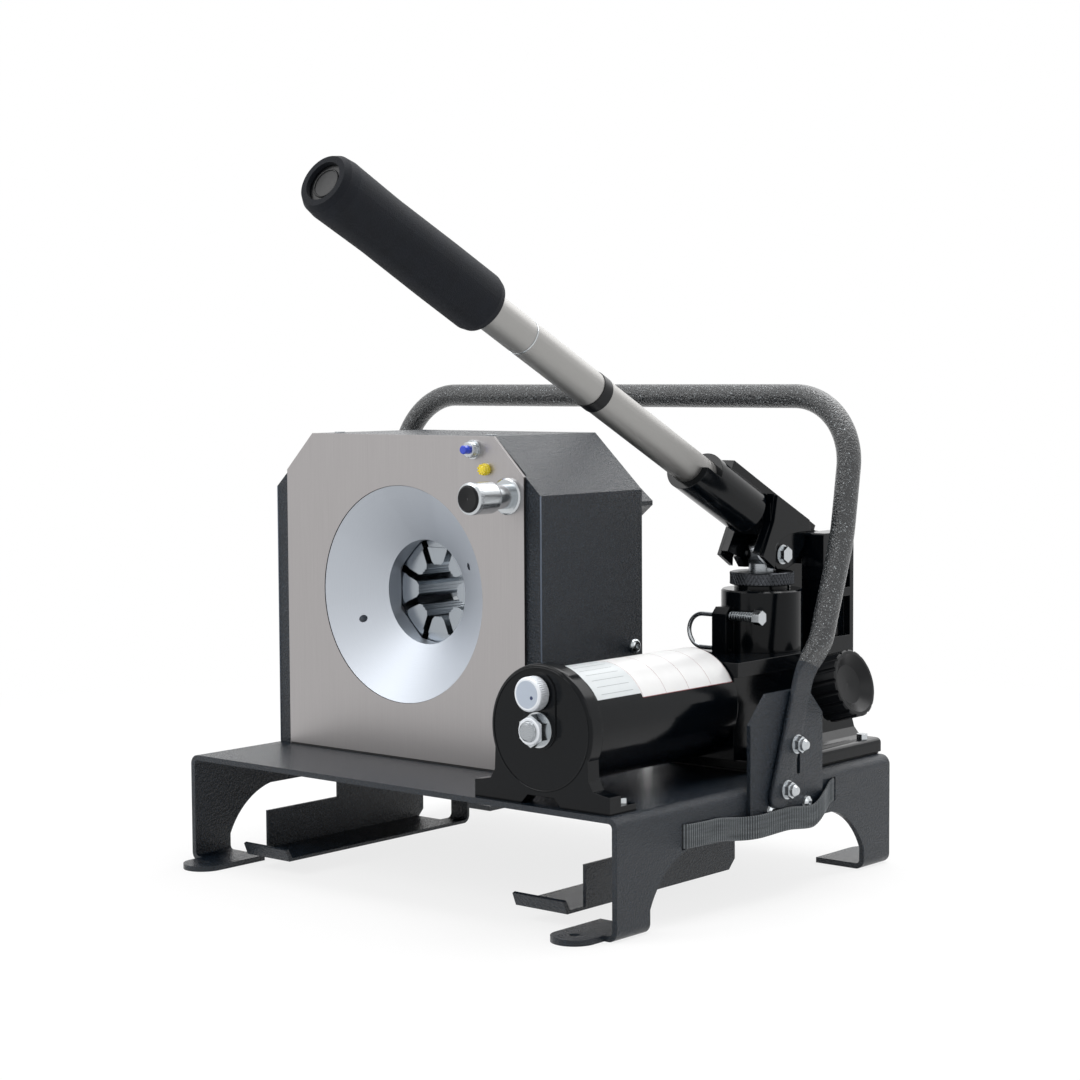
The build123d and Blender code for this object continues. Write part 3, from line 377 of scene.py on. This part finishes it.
def ridgeTree():
    # bars stood round a circle, each leaned over by Lean, for knurls and flutes
    tree, given = startTree("ridges", [("Count", "Int"), ("Ring", "Float"), ("Length", "Float"),
                                       ("Width", "Float"), ("Depth", "Float"), ("Lean", "Float"),
                                       ("Finish", "Material")])
    points, turn = spacedRound(tree, given)
    bar = addNode(tree, "GeometryNodeMeshCylinder",
                  inputs={"Vertices": 6, "Radius": 0.5, "Depth": 1.0})
    size = addNode(tree, "ShaderNodeCombineXYZ",
                   inputs={"X": given["Depth"], "Y": given["Width"], "Z": given["Length"]})
    lean = addNode(tree, "ShaderNodeCombineXYZ", inputs={"X": given["Lean"]})
    stretched = addNode(tree, "GeometryNodeTransform",
                        inputs={"Geometry": bar.outputs[0], "Scale": size.outputs[0]})
    leaned = addNode(tree, "GeometryNodeTransform",
                     inputs={"Geometry": stretched.outputs[0], "Rotation": lean.outputs[0]})
    return finishTree(tree, points, turn, leaned.outputs[0], given["Finish"])


def coilTree():
    # a wire wound along Z, once or in a ring of equal coils, for springs and screw threads
    tree, given = startTree("coils", [("Count", "Int"), ("Ring", "Float"), ("Turns", "Float"),
                                      ("Radius", "Float"), ("Length", "Float"),
                                      ("Wire", "Float"), ("Sides", "Int"),
                                      ("Finish", "Material")])
    points, turn = spacedRound(tree, given)
    line = addNode(tree, "GeometryNodeCurveSpiral",
                   inputs={"Resolution": 28, "Rotations": given["Turns"],
                           "Start Radius": given["Radius"], "End Radius": given["Radius"],
                           "Height": given["Length"]})
    section = addNode(tree, "GeometryNodeCurvePrimitiveCircle", {"mode": "RADIUS"},
                      {"Resolution": given["Sides"], "Radius": given["Wire"]})
    wire = addNode(tree, "GeometryNodeCurveToMesh",
                   inputs={"Curve": line.outputs[0], "Profile Curve": section.outputs[0],
                           "Fill Caps": True})
    return finishTree(tree, points, turn, wire.outputs[0], given["Finish"])


def grow(name, tree, sizes, finish, place, body):
    # runs the tree with these sizes and keeps the mesh it makes
    piece = bpy.data.objects.new(name, bpy.data.meshes.new(name))
    scene.collection.objects.link(piece)
    modifier = piece.modifiers.new("grow", "NODES")
    modifier.node_group = tree
    ids = {row.name: row.identifier for row in tree.interface.items_tree
           if row.in_out == "INPUT"}
    for label, value in {**sizes, "Finish": made[finish]}.items():
        modifier[ids[label]] = value
    ready = piece.evaluated_get(bpy.context.evaluated_depsgraph_get())
    mesh = bpy.data.meshes.new_from_object(ready)
    piece.modifiers.remove(modifier)
    piece.data = mesh
    mesh.transform(place)
    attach(piece, body)
    return piece


def along(axis, place):
    # turns a piece made along +Z to lie along the axis, and puts its start at the place
    return Matrix.Translation(place) @ Vector(axis).to_track_quat("Z", "Y").to_matrix().to_4x4()


ridges = ridgeTree()
coils = coilTree()


def knurl(name, bars, ring, length, place, body, lean=0.0):
    return grow(name, ridges, {"Count": bars["count"], "Ring": ring, "Length": length,
                               "Width": bars["width"] * mm, "Depth": bars["depth"] * mm,
                               "Lean": lean}, bars["finish"], place, body)


def frontKnurl(name, node, bars, body):
    # straight bars round a piece that faces front, centred some way behind its face
    low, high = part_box(node)
    mid = (low + high) / 2
    ring = (high.x - low.x) / 2 - bars["sunk"] * mm if "sunk" in bars else bars["ring"] * mm
    knurl(name, bars, ring, bars["length"] * mm,
          along((0, -1, 0), (mid.x, low.y + bars["behind"] * mm, mid.z)), body)


# the gland's knurl: two sets of leaned bars that cross
gland = {"count": 50, "lean": 32, "width": 1.1, "depth": 1.5, "sunk": 0.15, "short": 1.6,
         "finish": "blackened"}
low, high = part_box("gland_nut")
lean = radians(gland["lean"])
for name, way in (("glandKnurlLeft", -1), ("glandKnurlRight", 1)):
    knurl(name, gland, (high.x - low.x) / 2 - gland["sunk"] * mm,
          (high.z - low.z - gland["short"] * mm) / cos(lean),
          along((0, 0, 1), (low + high) / 2), "frame", way * lean)

# the vent knob's rim, pressed with a straight knurl
ventRim = {"count": 48, "width": 1.1, "depth": 1.0, "sunk": 0.1, "length": 9.6, "behind": 6.6,
           "finish": "satin"}
frontKnurl("ventKnurl", "vent_knob", ventRim, "vent_knob")

# the thimble's grip ring
thimble = {"count": 60, "width": 0.8, "depth": 0.35, "sunk": 0.02, "length": 4.2, "behind": 3.7,
           "finish": "machined_steel"}
frontKnurl("thimbleKnurl", "micrometer_thimble", thimble, "thimble")

# flutes moulded into the lamp's dome
lamp = {"count": 9, "width": 2.2, "depth": 1.5, "ring": 4.3, "length": 4.6, "behind": 3.0,
        "finish": "yellow_lens"}
frontKnurl("lampFlutes", "lamp_lens", lamp, "frame")

# the pull pin's spring pushes its nut away from the lug
pullSpring = {"turns": 9.5, "wire": 0.75, "sides": 8}
low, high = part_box("pull_pin_spring")
mid = (low + high) / 2
wire = pullSpring["wire"] * mm
coil = grow("pullSpringCoil", coils,
            {"Count": 1, "Ring": 0.0, "Turns": pullSpring["turns"],
             "Radius": (high.z - low.z) / 2 - wire, "Length": high.x - low.x - 2 * wire,
             "Wire": wire, "Sides": pullSpring["sides"]},
            "spring_steel", along((1, 0, 0), (low.x + wire, mid.y, mid.z)), "frame")
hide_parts("pull_pin_spring")
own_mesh(coil)

# eight springs between the flange and the ram send the ram back
returnSpring = {"count": 8, "turns": 7.5, "wire": 0.8, "sides": 6, "outerR": 4.5}
low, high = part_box("return_springs")
mid = (low + high) / 2
wire = returnSpring["wire"] * mm
outerR = returnSpring["outerR"] * mm
coil = grow("returnSpringCoils", coils,
            {"Count": returnSpring["count"], "Ring": (high.x - low.x) / 2 - outerR,
             "Turns": returnSpring["turns"], "Radius": outerR - wire,
             "Length": high.y - low.y - 2 * wire, "Wire": wire, "Sides": returnSpring["sides"]},
            "spring_steel", along((0, 1, 0), (mid.x, low.y + wire, mid.z)), "frame")
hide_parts("return_springs")
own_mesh(coil)

# screw threads that show, on pieces that face front: the wire's radius is a share of the pitch
threads = [
    {"name": "bushThread", "node": "button_bush", "start": 0.4, "length": 5.2, "radius": 6.9,
     "pitch": 1.0},
    {"name": "tieRodThread", "node": "tie_rod", "start": 1.8, "length": 4.2, "radius": 7.9,
     "pitch": 1.5},
]
threadWire = {"share": 0.42, "sides": 4}
for thread in threads:
    low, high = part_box(thread["node"])
    mid = (low + high) / 2
    end = low.y + (thread["start"] + thread["length"]) * mm
    grow(thread["name"], coils,
         {"Count": 1, "Ring": 0.0, "Turns": thread["length"] / thread["pitch"],
          "Radius": thread["radius"] * mm, "Length": thread["length"] * mm,
          "Wire": threadWire["share"] * thread["pitch"] * mm, "Sides": threadWire["sides"]},
         "zinc", along((0, -1, 0), (mid.x, end, mid.z)), "frame")
print("stage: knurls, coils and threads")


# Turned and printed pieces

def keep(name, bm, place, body, finishes, smooth=False):
    mesh = bpy.data.meshes.new(name)
    bm.to_mesh(mesh)
    bm.free()
    mesh.transform(place)
    for finish in finishes:
        mesh.materials.append(finish)
    for face in mesh.polygons:
        face.use_smooth = smooth
    piece = bpy.data.objects.new(name, mesh)
    scene.collection.objects.link(piece)
    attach(piece, body)
    return piece


def turnedShape(outline, segments=64):
    # revolves the outline about Z and closes the shape
    bm = bmesh.new()
    rings = []
    for radius, height in outline:
        turns = [tau * k / segments for k in range(segments)] if radius > 0 else [0]
        rings.append([bm.verts.new((radius * mm * cos(a), radius * mm * sin(a), height * mm))
                      for a in turns])
    for first, second in zip(rings, rings[1:] + rings[:1]):
        for k in range(segments):
            corners = [first[k % len(first)], first[(k + 1) % len(first)],
                       second[(k + 1) % len(second)], second[k % len(second)]]
            corners = list(dict.fromkeys(corners))
            if len(corners) > 2:
                bm.faces.new(corners)
    bmesh.ops.recalc_face_normals(bm, faces=bm.faces)
    return bm


def facingFront(x, y, z):
    # turns a piece made along +Z to stand out to the front from a place
    return Matrix.Translation((x, y, z)) @ Matrix.Rotation(radians(90), 4, "X")


# the vent knob's silver face, with one dot on it
ventFace = {"outline": [(0, -0.3), (11.6, -0.3), (11.6, 0.1), (11.3, 0.25), (0, 0.25)],
            "dot": [(0, 0), (1.6, 0), (1.6, 0.32), (0, 0.32)], "dotAt": (5.2, -2.4)}
low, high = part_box("vent_knob")
mid = (low + high) / 2
front = facingFront(mid.x, low.y, mid.z)
keep("ventFace", turnedShape(ventFace["outline"]), front, "vent_knob", [faceInk])
dotX, dotZ = ventFace["dotAt"]
keep("ventDot", turnedShape(ventFace["dot"], 24),
     Matrix.Translation((dotX * mm, 0, dotZ * mm)) @ front, "vent_knob", [dotInk])

# the locking collar turned on the front of the tie rod's nut
collar = {"outline": [(8.3, -0.4), (11.6, -0.4), (11.6, 1.7), (10.7, 2.6), (8.8, 2.6),
                      (8.3, 2.1)]}
low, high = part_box("tie_rod_nut")
mid = (low + high) / 2
keep("nutCollar", turnedShape(collar["outline"]), facingFront(mid.x, low.y, mid.z), "frame",
     [made["satin"]])

# what rides the lever lies along its tube, measured from the mouth of the yoke
lever = {"mouth": (173.5, 28.6, 367.1), "tilt": 26.8}
leverWay = Vector((0, -cos(radians(lever["tilt"])), sin(radians(lever["tilt"]))))


def onLever(distance):
    return along(leverWay, (Vector(lever["mouth"]) + leverWay * distance) * mm)


# a raised ring and a shallow dome on the grip's end plug
plug = {"at": 524.0, "outline": [(0, -0.2), (12, -0.2), (12, 0.5), (11.6, 0.9), (10.9, 0.9),
                                 (10.6, 0.15), (4, 0.45), (0, 0.5)]}
keep("plugRing", turnedShape(plug["outline"]), onLever(plug["at"]), "lever",
     [made["knob_plastic"]])

# the bright joint ring on the lever tube
seam = {"at": 276.4, "outline": [(14.7, 0), (16.2, 0), (16.2, 1.3), (14.7, 1.3)]}
keep("leverSeam", turnedShape(seam["outline"]), onLever(seam["at"]), "lever", [made["zinc"]])

# a rolled bead round the face of the tank's end cap
bead = {"centre": (173.5, -199.1, 166.4), "segments": 96,
        "outline": [(50.8, -0.3), (52.4, -0.3), (52.4, 0.3), (51.9, 0.8), (51.3, 0.8),
                    (50.8, 0.3)]}
keep("capBead", turnedShape(bead["outline"], bead["segments"]),
     facingFront(*(Vector(bead["centre"]) * mm)), "frame", [made["black_enamel"]],
     True)

# painted shade: a dark rubber strip stands for the shadow in the gap between the front panel and
# the stand
gapShade = {"inset": 1.0, "proud": 0.3, "deep": 1.3, "tall": 1.8}
low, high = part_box("front_panel")
bm = bmesh.new()
bmesh.ops.create_cube(bm, size=1)
size = Vector((high.x - low.x - 2 * gapShade["inset"] * mm, gapShade["deep"] * mm,
               gapShade["tall"] * mm))
start = Vector(((low.x + high.x) / 2, low.y + (gapShade["deep"] / 2 - gapShade["proud"]) * mm,
                low.z + size.z / 2))
keep("panelGapShade", bm, Matrix.Translation(start) @ Matrix.Diagonal((*size, 1)), "frame",
     [made["seal_rubber"]])

# painted highlight: a light strip along each of the cover's two front bends, below its cut
# corners, stands for the light the bends catch
bend = {"radius": 0.65, "inset": 0.25, "below": 52.2, "above": 0.4, "segments": 24}
low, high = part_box("casing_cover")
tall = (high.z - low.z) / mm - bend["below"] - bend["above"]
for name, x, way in (("coverBendHighlightLeft", low.x, 1), ("coverBendHighlightRight", high.x, -1)):
    inset = bend["inset"] * mm
    keep(name, turnedShape([(0, 0), (bend["radius"], 0), (bend["radius"], tall), (0, tall)],
                           bend["segments"]),
         Matrix.Translation((x + way * inset, low.y + inset, low.z + bend["above"] * mm)),
         "frame", [made["bend_highlight_paint"]], True)

# one button-head screw low at the rear of each side of the cover, two flat plugs on its top
screw = {"head": [(0, 0), (7, 0), (6.8, 1.2), (6.2, 2.4), (5.3, 3.3), (4.2, 4), (2.2, 4),
                  (2, 2), (0, 2)],
         "y": 37.0, "z": 208.3, "segments": 48,
         "plug": [(0, 0), (5, 0), (5, 1.2), (0, 1.2)], "plugX": (-180.0, 15.0), "plugY": -80.0}
spots = [(screw["head"], Matrix.Translation((x, screw["y"] * mm, screw["z"] * mm))
          @ Matrix.Rotation(turn, 4, "Y"))
         for x, turn in ((low.x, radians(-90)), (high.x, radians(90)))]
spots += [(screw["plug"], Matrix.Translation((x * mm, screw["plugY"] * mm, high.z)))
          for x in screw["plugX"]]
bm = bmesh.new()
for outline, place in spots:
    part = turnedShape(outline, screw["segments"])
    part.transform(place)
    scratch = bpy.data.meshes.new("part")
    part.to_mesh(scratch)
    part.free()
    bm.from_mesh(scratch)
    bpy.data.meshes.remove(scratch)
heads = keep("casingScrewHeads", bm, Matrix.Identity(4), "frame", [made["zinc"]])
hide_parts("casing_screws")


# Carry handle: one tube, bent four times and pressed flat at both feet. low, knee and top are
# (y, z) points of its centre line, and the last millimetres of each tongue are rounded.

handle = {"x": 276.0, "top": (118.0, 439.5), "knee": (97.0, 313.0), "low": (51.3, 190.0),
          "bends": (150.0, 65.0), "radius": 11.0, "press": 42.0, "pressSteps": 12,
          "tongue": 117.5, "tongueRings": (40, 6, 2, 0), "round": 12, "tip": 0.45,
          "inset": 10.3, "wide": 27.0, "thick": 5.0, "sides": 32, "step": 4.0, "painted": 0.3}


def eased(share):
    return share * share * (3 - 2 * share)


def rounded(points, radii, step):
    # a polyline with its corners turned into arcs and its straights left whole
    done = [points[0]]
    for corner, radius in zip(range(1, len(points) - 1), radii):
        here = points[corner]
        back = (points[corner - 1] - here).normalized()
        ahead = (points[corner + 1] - here).normalized()
        half = back.angle(ahead) / 2
        reach = radius / tan(half)
        centre = here + (back + ahead).normalized() * (radius / sin(half))
        start = here + back * reach - centre
        end = here + ahead * reach - centre
        sweep = start.angle(end)
        count = max(3, ceil(radius * sweep / step))
        for k in range(count + 1):
            share = k / count
            done.append(centre + (start * sin((1 - share) * sweep)
                                  + end * sin(share * sweep)) / sin(sweep))
    return done + [points[-1]]


def handleLine():
    # the centre line, with how far each point is past the pressed foot: below 0 on the tongue,
    # and simply far on the round tube
    tongue, press, steps = handle["tongue"], handle["press"], handle["pressSteps"]
    far = 1e3
    legs = [Vector((handle["x"], *handle[key])) for key in ("low", "knee", "top")]
    route = legs + [Vector((-p.x, p.y, p.z)) for p in legs[::-1]]
    knee, corner = handle["bends"]
    bow = rounded(route, (knee, corner, corner, knee), handle["step"])
    down = (legs[0] - legs[1]).normalized()
    tail = [tongue, tongue - 2, tongue - 6, tongue - handle["round"], *handle["tongueRings"]]
    near = [(legs[0] + down * d, -d) for d in tail]
    near += [(legs[0] - down * d, d) for d in (k * press / steps for k in range(1, steps + 1))]
    other = [(Vector((-p.x, p.y, p.z)), d) for p, d in near[::-1]]
    return near + [(p, far) for p in bow[1:-1]] + other


def handleMesh():
    radius, thick, wide = handle["radius"], handle["thick"] / 2, handle["wide"] / 2
    count = handle["sides"]
    bm = bmesh.new()
    line = handleLine()
    rings = []
    across = Vector((1, 0, 0))
    for k, (point, past) in enumerate(line):
        way = (line[min(k + 1, len(line) - 1)][0] - line[max(k - 1, 0)][0]).normalized()
        across = (across - way * across.dot(way)).normalized()
        side = way.cross(across)
        share = eased(min(1.0, max(0.0, past / handle["press"])))
        a = thick + (radius - thick) * share
        b = wide + (radius - wide) * share
        # the section goes from a squarish oval on the tongue to a circle on the tube
        power = 2 / (6 - 4 * share)
        left = (handle["tongue"] + past) / handle["round"]
        if left < 1:
            b *= handle["tip"] + (1 - handle["tip"]) * (1 - (1 - left) ** 2) ** 0.5
        ring = []
        for i in range(count):
            angle = tau * (i + 0.5) / count
            c, s = cos(angle), sin(angle)
            out = a * copysign(abs(c) ** power, c) - handle["inset"] * (1 - share)
            co = point + across * out + side * b * copysign(abs(s) ** power, s)
            ring.append(bm.verts.new(co * mm))
        rings.append(ring)
    for first, second, (_, past) in zip(rings, rings[1:], line):
        for i in range(count):
            j = (i + 1) % count
            face = bm.faces.new((first[i], first[j], second[j], second[i]))
            face.material_index = 0 if past > handle["press"] * handle["painted"] else 1
    for end in (rings[0], rings[-1][::-1]):
        bm.faces.new(end).material_index = 1
    bmesh.ops.recalc_face_normals(bm, faces=bm.faces)
    return bm


bent = keep("handleTube", handleMesh(), Matrix.Identity(4), "frame",
            [made["handle_paint"], made["hammertone_paint"]], True)
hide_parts("carry_handle")


# Tank label: blank ruled panels. Angles are from the top of the tank, and each layer's lift is
# its height over the tube.

label = {"angle": 60, "overlap": 4, "facet": 3, "thick": 0.25,
         "front": (-175.0, -117.0), "rear": (-117.0, 11.0),
         "lift": 0.12, "rearLift": 0.02, "inkLift": 0.05,
         "rule": 0.55, "cells": (-116.2, -84.0, -52.0, -20.0, 10.2),
         "lines": 7, "lineFrom": 2, "lineTo": 54, "lineShift": 0.4, "lineWide": 0.5,
         "margin": 8}


def tankPatch(bm, centre, radius, y0, y1, a0, a1, slotIndex):
    # a closed sheet bent round the tank between two lengths and two angles
    steps = max(2, ceil(abs(a1 - a0) / label["facet"]))
    angles = [radians(a0 + (a1 - a0) * k / steps) for k in range(steps + 1)]
    layers = [[[bm.verts.new((centre.x + r * mm * sin(a), y * mm, centre.z + r * mm * cos(a)))
                for a in angles] for y in (y0, y1)]
              for r in (radius - label["thick"], radius)]
    (lowA, lowB), (topA, topB) = layers
    faces = []
    for first, second in ((topA, topB), (lowB, lowA), (lowA, topA), (topB, lowB)):
        for k in range(steps):
            faces.append(bm.faces.new((first[k], first[k + 1], second[k + 1], second[k])))
    for k in (0, steps):
        faces.append(bm.faces.new((lowA[k], lowB[k], topB[k], topA[k])))
    for face in faces:
        face.material_index = slotIndex
    bmesh.ops.recalc_face_normals(bm, faces=faces)


low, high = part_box("reservoir_tube")
tankC = (low + high) / 2
tankR = (high.x - low.x) / 2 / mm
paperR = tankR + label["lift"]
inkR = paperR + label["inkLift"]
wide, over, rule = label["angle"], label["overlap"], label["rule"]
ruleAngle = rule / (tankR * tau / 360)
bm = bmesh.new()
tankPatch(bm, tankC, paperR, *label["front"], -wide, wide - 1, 0)
tankPatch(bm, tankC, paperR + label["rearLift"], *label["rear"], -wide - over, wide + over, 1)
for angle in (-wide - over / 2, wide + over - ruleAngle):
    tankPatch(bm, tankC, inkR, *label["rear"], angle, angle + ruleAngle, 2)
for y in label["cells"]:
    tankPatch(bm, tankC, inkR, y - rule / 4, y + rule / 4, -wide - over / 2, wide + over, 2)
y0, y1 = label["front"][0] + label["margin"], label["front"][1] - label["margin"]
for k in range(label["lines"]):
    angle = label["lineFrom"] + k * (label["lineTo"] - label["lineFrom"]) / (label["lines"] - 1)
    for side in (-1, 1):
        start = side * angle - label["lineShift"]
        tankPatch(bm, tankC, inkR, y0, y1, start, start + label["lineWide"], 3)
keep("tankLabel", bm, Matrix.Identity(4), "frame", [paperCool, paper, redInk, greyInk])


# Webbing strap through the stand's two side slots, standing off over the bracket's screws.
# side is (out from the stand, y) seen from above, and sag is (y, height of the middle).

strap = {"wide": 20.6, "thick": 2.0, "rib": 2.7, "ribDepth": 0.75, "edge": 1.5,
         "edgeShare": 0.4, "corner": [(0, 0.25), (0.35, 0.8), (1.2, 1.0)], "flatFrom": 2,
         "flatSteps": 8, "step": 0.54, "uvWidth": 1.4,
         "side": [(-8.5, -115.3), (-3.0, -115.4), (1.2, -113.0), (2.0, -104.0), (2.0, -48.0),
                  (4.2, -36.0), (9.0, -24.0), (10.6, -12.0), (10.6, 68.0), (9.0, 80.0),
                  (4.2, 91.0), (2.0, 99.0), (2.0, 105.0), (1.2, 108.6), (-3.0, 110.7),
                  (-8.5, 110.8)],
         "sag": [(-118.5, 73.9), (-75, 73.0), (-30, 69.0), (20, 70.0), (59.5, 66.8),
                 (88, 75.6), (105.8, 83.0), (113.8, 83.3)]}


def between(points, t):
    # the value at t, eased between the given (t, value) points
    for (t0, v0), (t1, v1) in zip(points, points[1:]):
        if t <= t1:
            return v0 + (v1 - v0) * eased(min(1, max(0, (t - t0) / (t1 - t0))))
    return points[-1][1]


def smoothLine(points, step):
    # evenly spaced points on the spline through the given ones
    curve = bpy.data.curves.new("line", "CURVE")
    curve.dimensions = "3D"
    curve.resolution_u = 24
    spline = curve.splines.new("NURBS")
    spline.points.add(len(points) - 1)
    for point, co in zip(spline.points, points):
        point.co = (*co, 1.0)
    spline.order_u = 3
    spline.use_endpoint_u = True
    holder = bpy.data.objects.new("line", curve)
    mesh = bpy.data.meshes.new_from_object(holder)
    raw = [vertex.co.copy() for vertex in mesh.vertices]
    bpy.data.objects.remove(holder)
    evened = [raw[0]]
    for target in raw[1:]:
        while (target - evened[-1]).length > step:
            evened.append(evened[-1] + (target - evened[-1]).normalized() * step)
    return evened


def strapSection():
    # (across, share of the half thickness) round a flat band with softened edges
    half, inset, steps = strap["wide"] / 2, strap["flatFrom"], strap["flatSteps"]
    upper = [(-half + way, share) for way, share in strap["corner"]]
    upper += [(-half + inset + (strap["wide"] - 2 * inset) * k / steps, 1.0)
              for k in range(steps + 1)]
    upper += [(half - way, share) for way, share in strap["corner"][::-1]]
    return upper + [(across, -share) for across, share in upper[::-1]]


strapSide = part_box("base_stand")[1].x / mm
line = smoothLine([(strapSide + x, y, 0) for x, y in strap["side"]], strap["step"])
section = strapSection()
bm = bmesh.new()
uv = bm.loops.layers.uv.new("along")
rings = []
for k, point in enumerate(line):
    way = (line[min(k + 1, len(line) - 1)] - line[max(k - 1, 0)]).normalized()
    out = Vector((way.y, -way.x, 0))
    rib = 0.5 + 0.5 * cos(tau * k * strap["step"] / strap["rib"])
    height = between(strap["sag"], point.y)
    ring = []
    for across, share in section:
        inner = abs(across) < strap["wide"] / 2 - strap["edge"]
        groove = (1 if inner else strap["edgeShare"]) * strap["ribDepth"] * (1 - rib)
        depth = strap["thick"] / 2 * share - copysign(groove, share)
        ring.append(bm.verts.new((point + out * depth + Vector((0, 0, height + across))) * mm))
    rings.append(ring)
count = len(section)
for k, (first, second) in enumerate(zip(rings, rings[1:])):
    for i in range(count):
        j = (i + 1) % count
        face = bm.faces.new((first[i], first[j], second[j], second[i]))
        corners = ((k, i), (k, i + 1), (k + 1, i + 1), (k + 1, i))
        for loop, (row, column) in zip(face.loops, corners):
            loop[uv].uv = (row * strap["step"] * mm,
                           min(column, count - column) * mm * strap["uvWidth"])
bm.faces.new(rings[0])
bm.faces.new(rings[-1][::-1])
bmesh.ops.recalc_face_normals(bm, faces=bm.faces)
ribbon = keep("strapWebbing", bm, Matrix.Identity(4), "frame", [made["webbing"]],
              True)
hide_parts("tie_strap")
print("stage: label and strap")


# Studio: metres, degrees and watts

camera = {"place": (1.43741, -1.67221, 0.46392), "yaw": 40.61, "pitch": -4.11, "roll": -0.33,
          "lens": 78.47, "sensor": 36, "near": 0.05}
lamps = [
    {"name": "keySoftbox", "place": (-1.6, -2.2, 2.2), "size": 1.8, "watts": 37},
    {"name": "sideSoftbox", "place": (2.6, -0.2, 1.6), "size": 1.4, "watts": 6},
    {"name": "topSoftbox", "place": (0.1, 0.4, 2.4), "size": 1.6, "watts": 35},
    {"name": "rearSoftbox", "place": (0.1, 2.1, 2.5), "size": 2.8, "watts": 46},
]
studio = {"target": (0, 0, 0.25), "sky": 0.5, "floorReach": 12, "floorShare": 0.8,
          "clearFrom": 0.5, "clearTo": 1.4}


def buildCamera():
    lens = bpy.data.cameras.new("camera")
    lens.lens = camera["lens"]
    lens.sensor_width = camera["sensor"]
    lens.clip_start = camera["near"]
    eye = bpy.data.objects.new("camera", lens)
    turn = (Matrix.Rotation(radians(camera["yaw"]), 4, "Z")
            @ Matrix.Rotation(radians(90 + camera["pitch"]), 4, "X")
            @ Matrix.Rotation(radians(camera["roll"]), 4, "Z"))
    eye.matrix_world = Matrix.Translation(camera["place"]) @ turn
    scene.collection.objects.link(eye)
    scene.camera = eye


def buildLamps():
    target = Vector(studio["target"])
    for lamp in lamps:
        light = bpy.data.lights.new(lamp["name"], "AREA")
        light.size = lamp["size"]
        light.energy = lamp["watts"]
        box = bpy.data.objects.new(lamp["name"], light)
        place = Vector(lamp["place"])
        aim = (target - place).to_track_quat("-Z", "Y").to_matrix().to_4x4()
        box.matrix_world = Matrix.Translation(place) @ aim
        scene.collection.objects.link(box)


def seenDirectly(tree):
    # 1 for what the camera sees straight, in a mirror or through glass
    path = addNode(tree, "ShaderNodeLightPath").outputs
    seen = path["Is Camera Ray"]
    for ray in ("Is Glossy Ray", "Is Transmission Ray"):
        seen = addNode(tree, "ShaderNodeMath", {"operation": "ADD", "use_clamp": True},
                       {0: seen, 1: path[ray]}).outputs[0]
    return seen


def buildWorld():
    # white where it is seen, dimmer as a light
    world = bpy.data.worlds.new("studio")
    scene.world = world
    world.use_nodes = True
    tree = world.node_tree
    tree.nodes.clear()
    level = toRange(tree, seenDirectly(tree), studio["sky"], 1.0)
    sky = addNode(tree, "ShaderNodeBackground",
                  inputs={"Color": (1, 1, 1, 1), "Strength": level})
    addNode(tree, "ShaderNodeOutputWorld", inputs={"Surface": sky.outputs[0]})


def buildFloor():
    # pale seamless paper: it keeps the shadow near the machine and clears to white further out
    material, tree, place = startMaterial("paleFloor")
    distance = addNode(tree, "ShaderNodeVectorMath", {"operation": "LENGTH"}, {0: place})
    clearing = addNode(tree, "ShaderNodeMapRange",
                       inputs={"Value": distance.outputs["Value"],
                               "From Min": studio["clearFrom"], "From Max": studio["clearTo"],
                               "To Min": studio["floorShare"], "To Max": 1.0})
    share = maths(tree, "MULTIPLY", seenDirectly(tree), clearing.outputs[0])
    matt = addNode(tree, "ShaderNodeBsdfDiffuse", inputs={"Color": hexColor("#f2f2f2")})
    glow = addNode(tree, "ShaderNodeEmission", inputs={"Color": (1, 1, 1, 1), "Strength": 1.0})
    mixed = addNode(tree, "ShaderNodeMixShader",
                    inputs={0: share, 1: matt.outputs[0], 2: glow.outputs[0]})
    addNode(tree, "ShaderNodeOutputMaterial", inputs={"Surface": mixed.outputs[0]})
    mesh = bpy.data.meshes.new("floor")
    reach = studio["floorReach"]
    corners = [(-reach, -reach, 0), (reach, -reach, 0), (reach, reach, 0), (-reach, reach, 0)]
    mesh.from_pydata(corners, [], [(0, 1, 2, 3)])
    mesh.materials.append(material)
    floor = bpy.data.objects.new("floor", mesh)
    scene.collection.objects.link(floor)


buildCamera()
buildLamps()
buildWorld()
buildFloor()
scene.view_settings.view_transform = "Standard"
print("stage: studio")
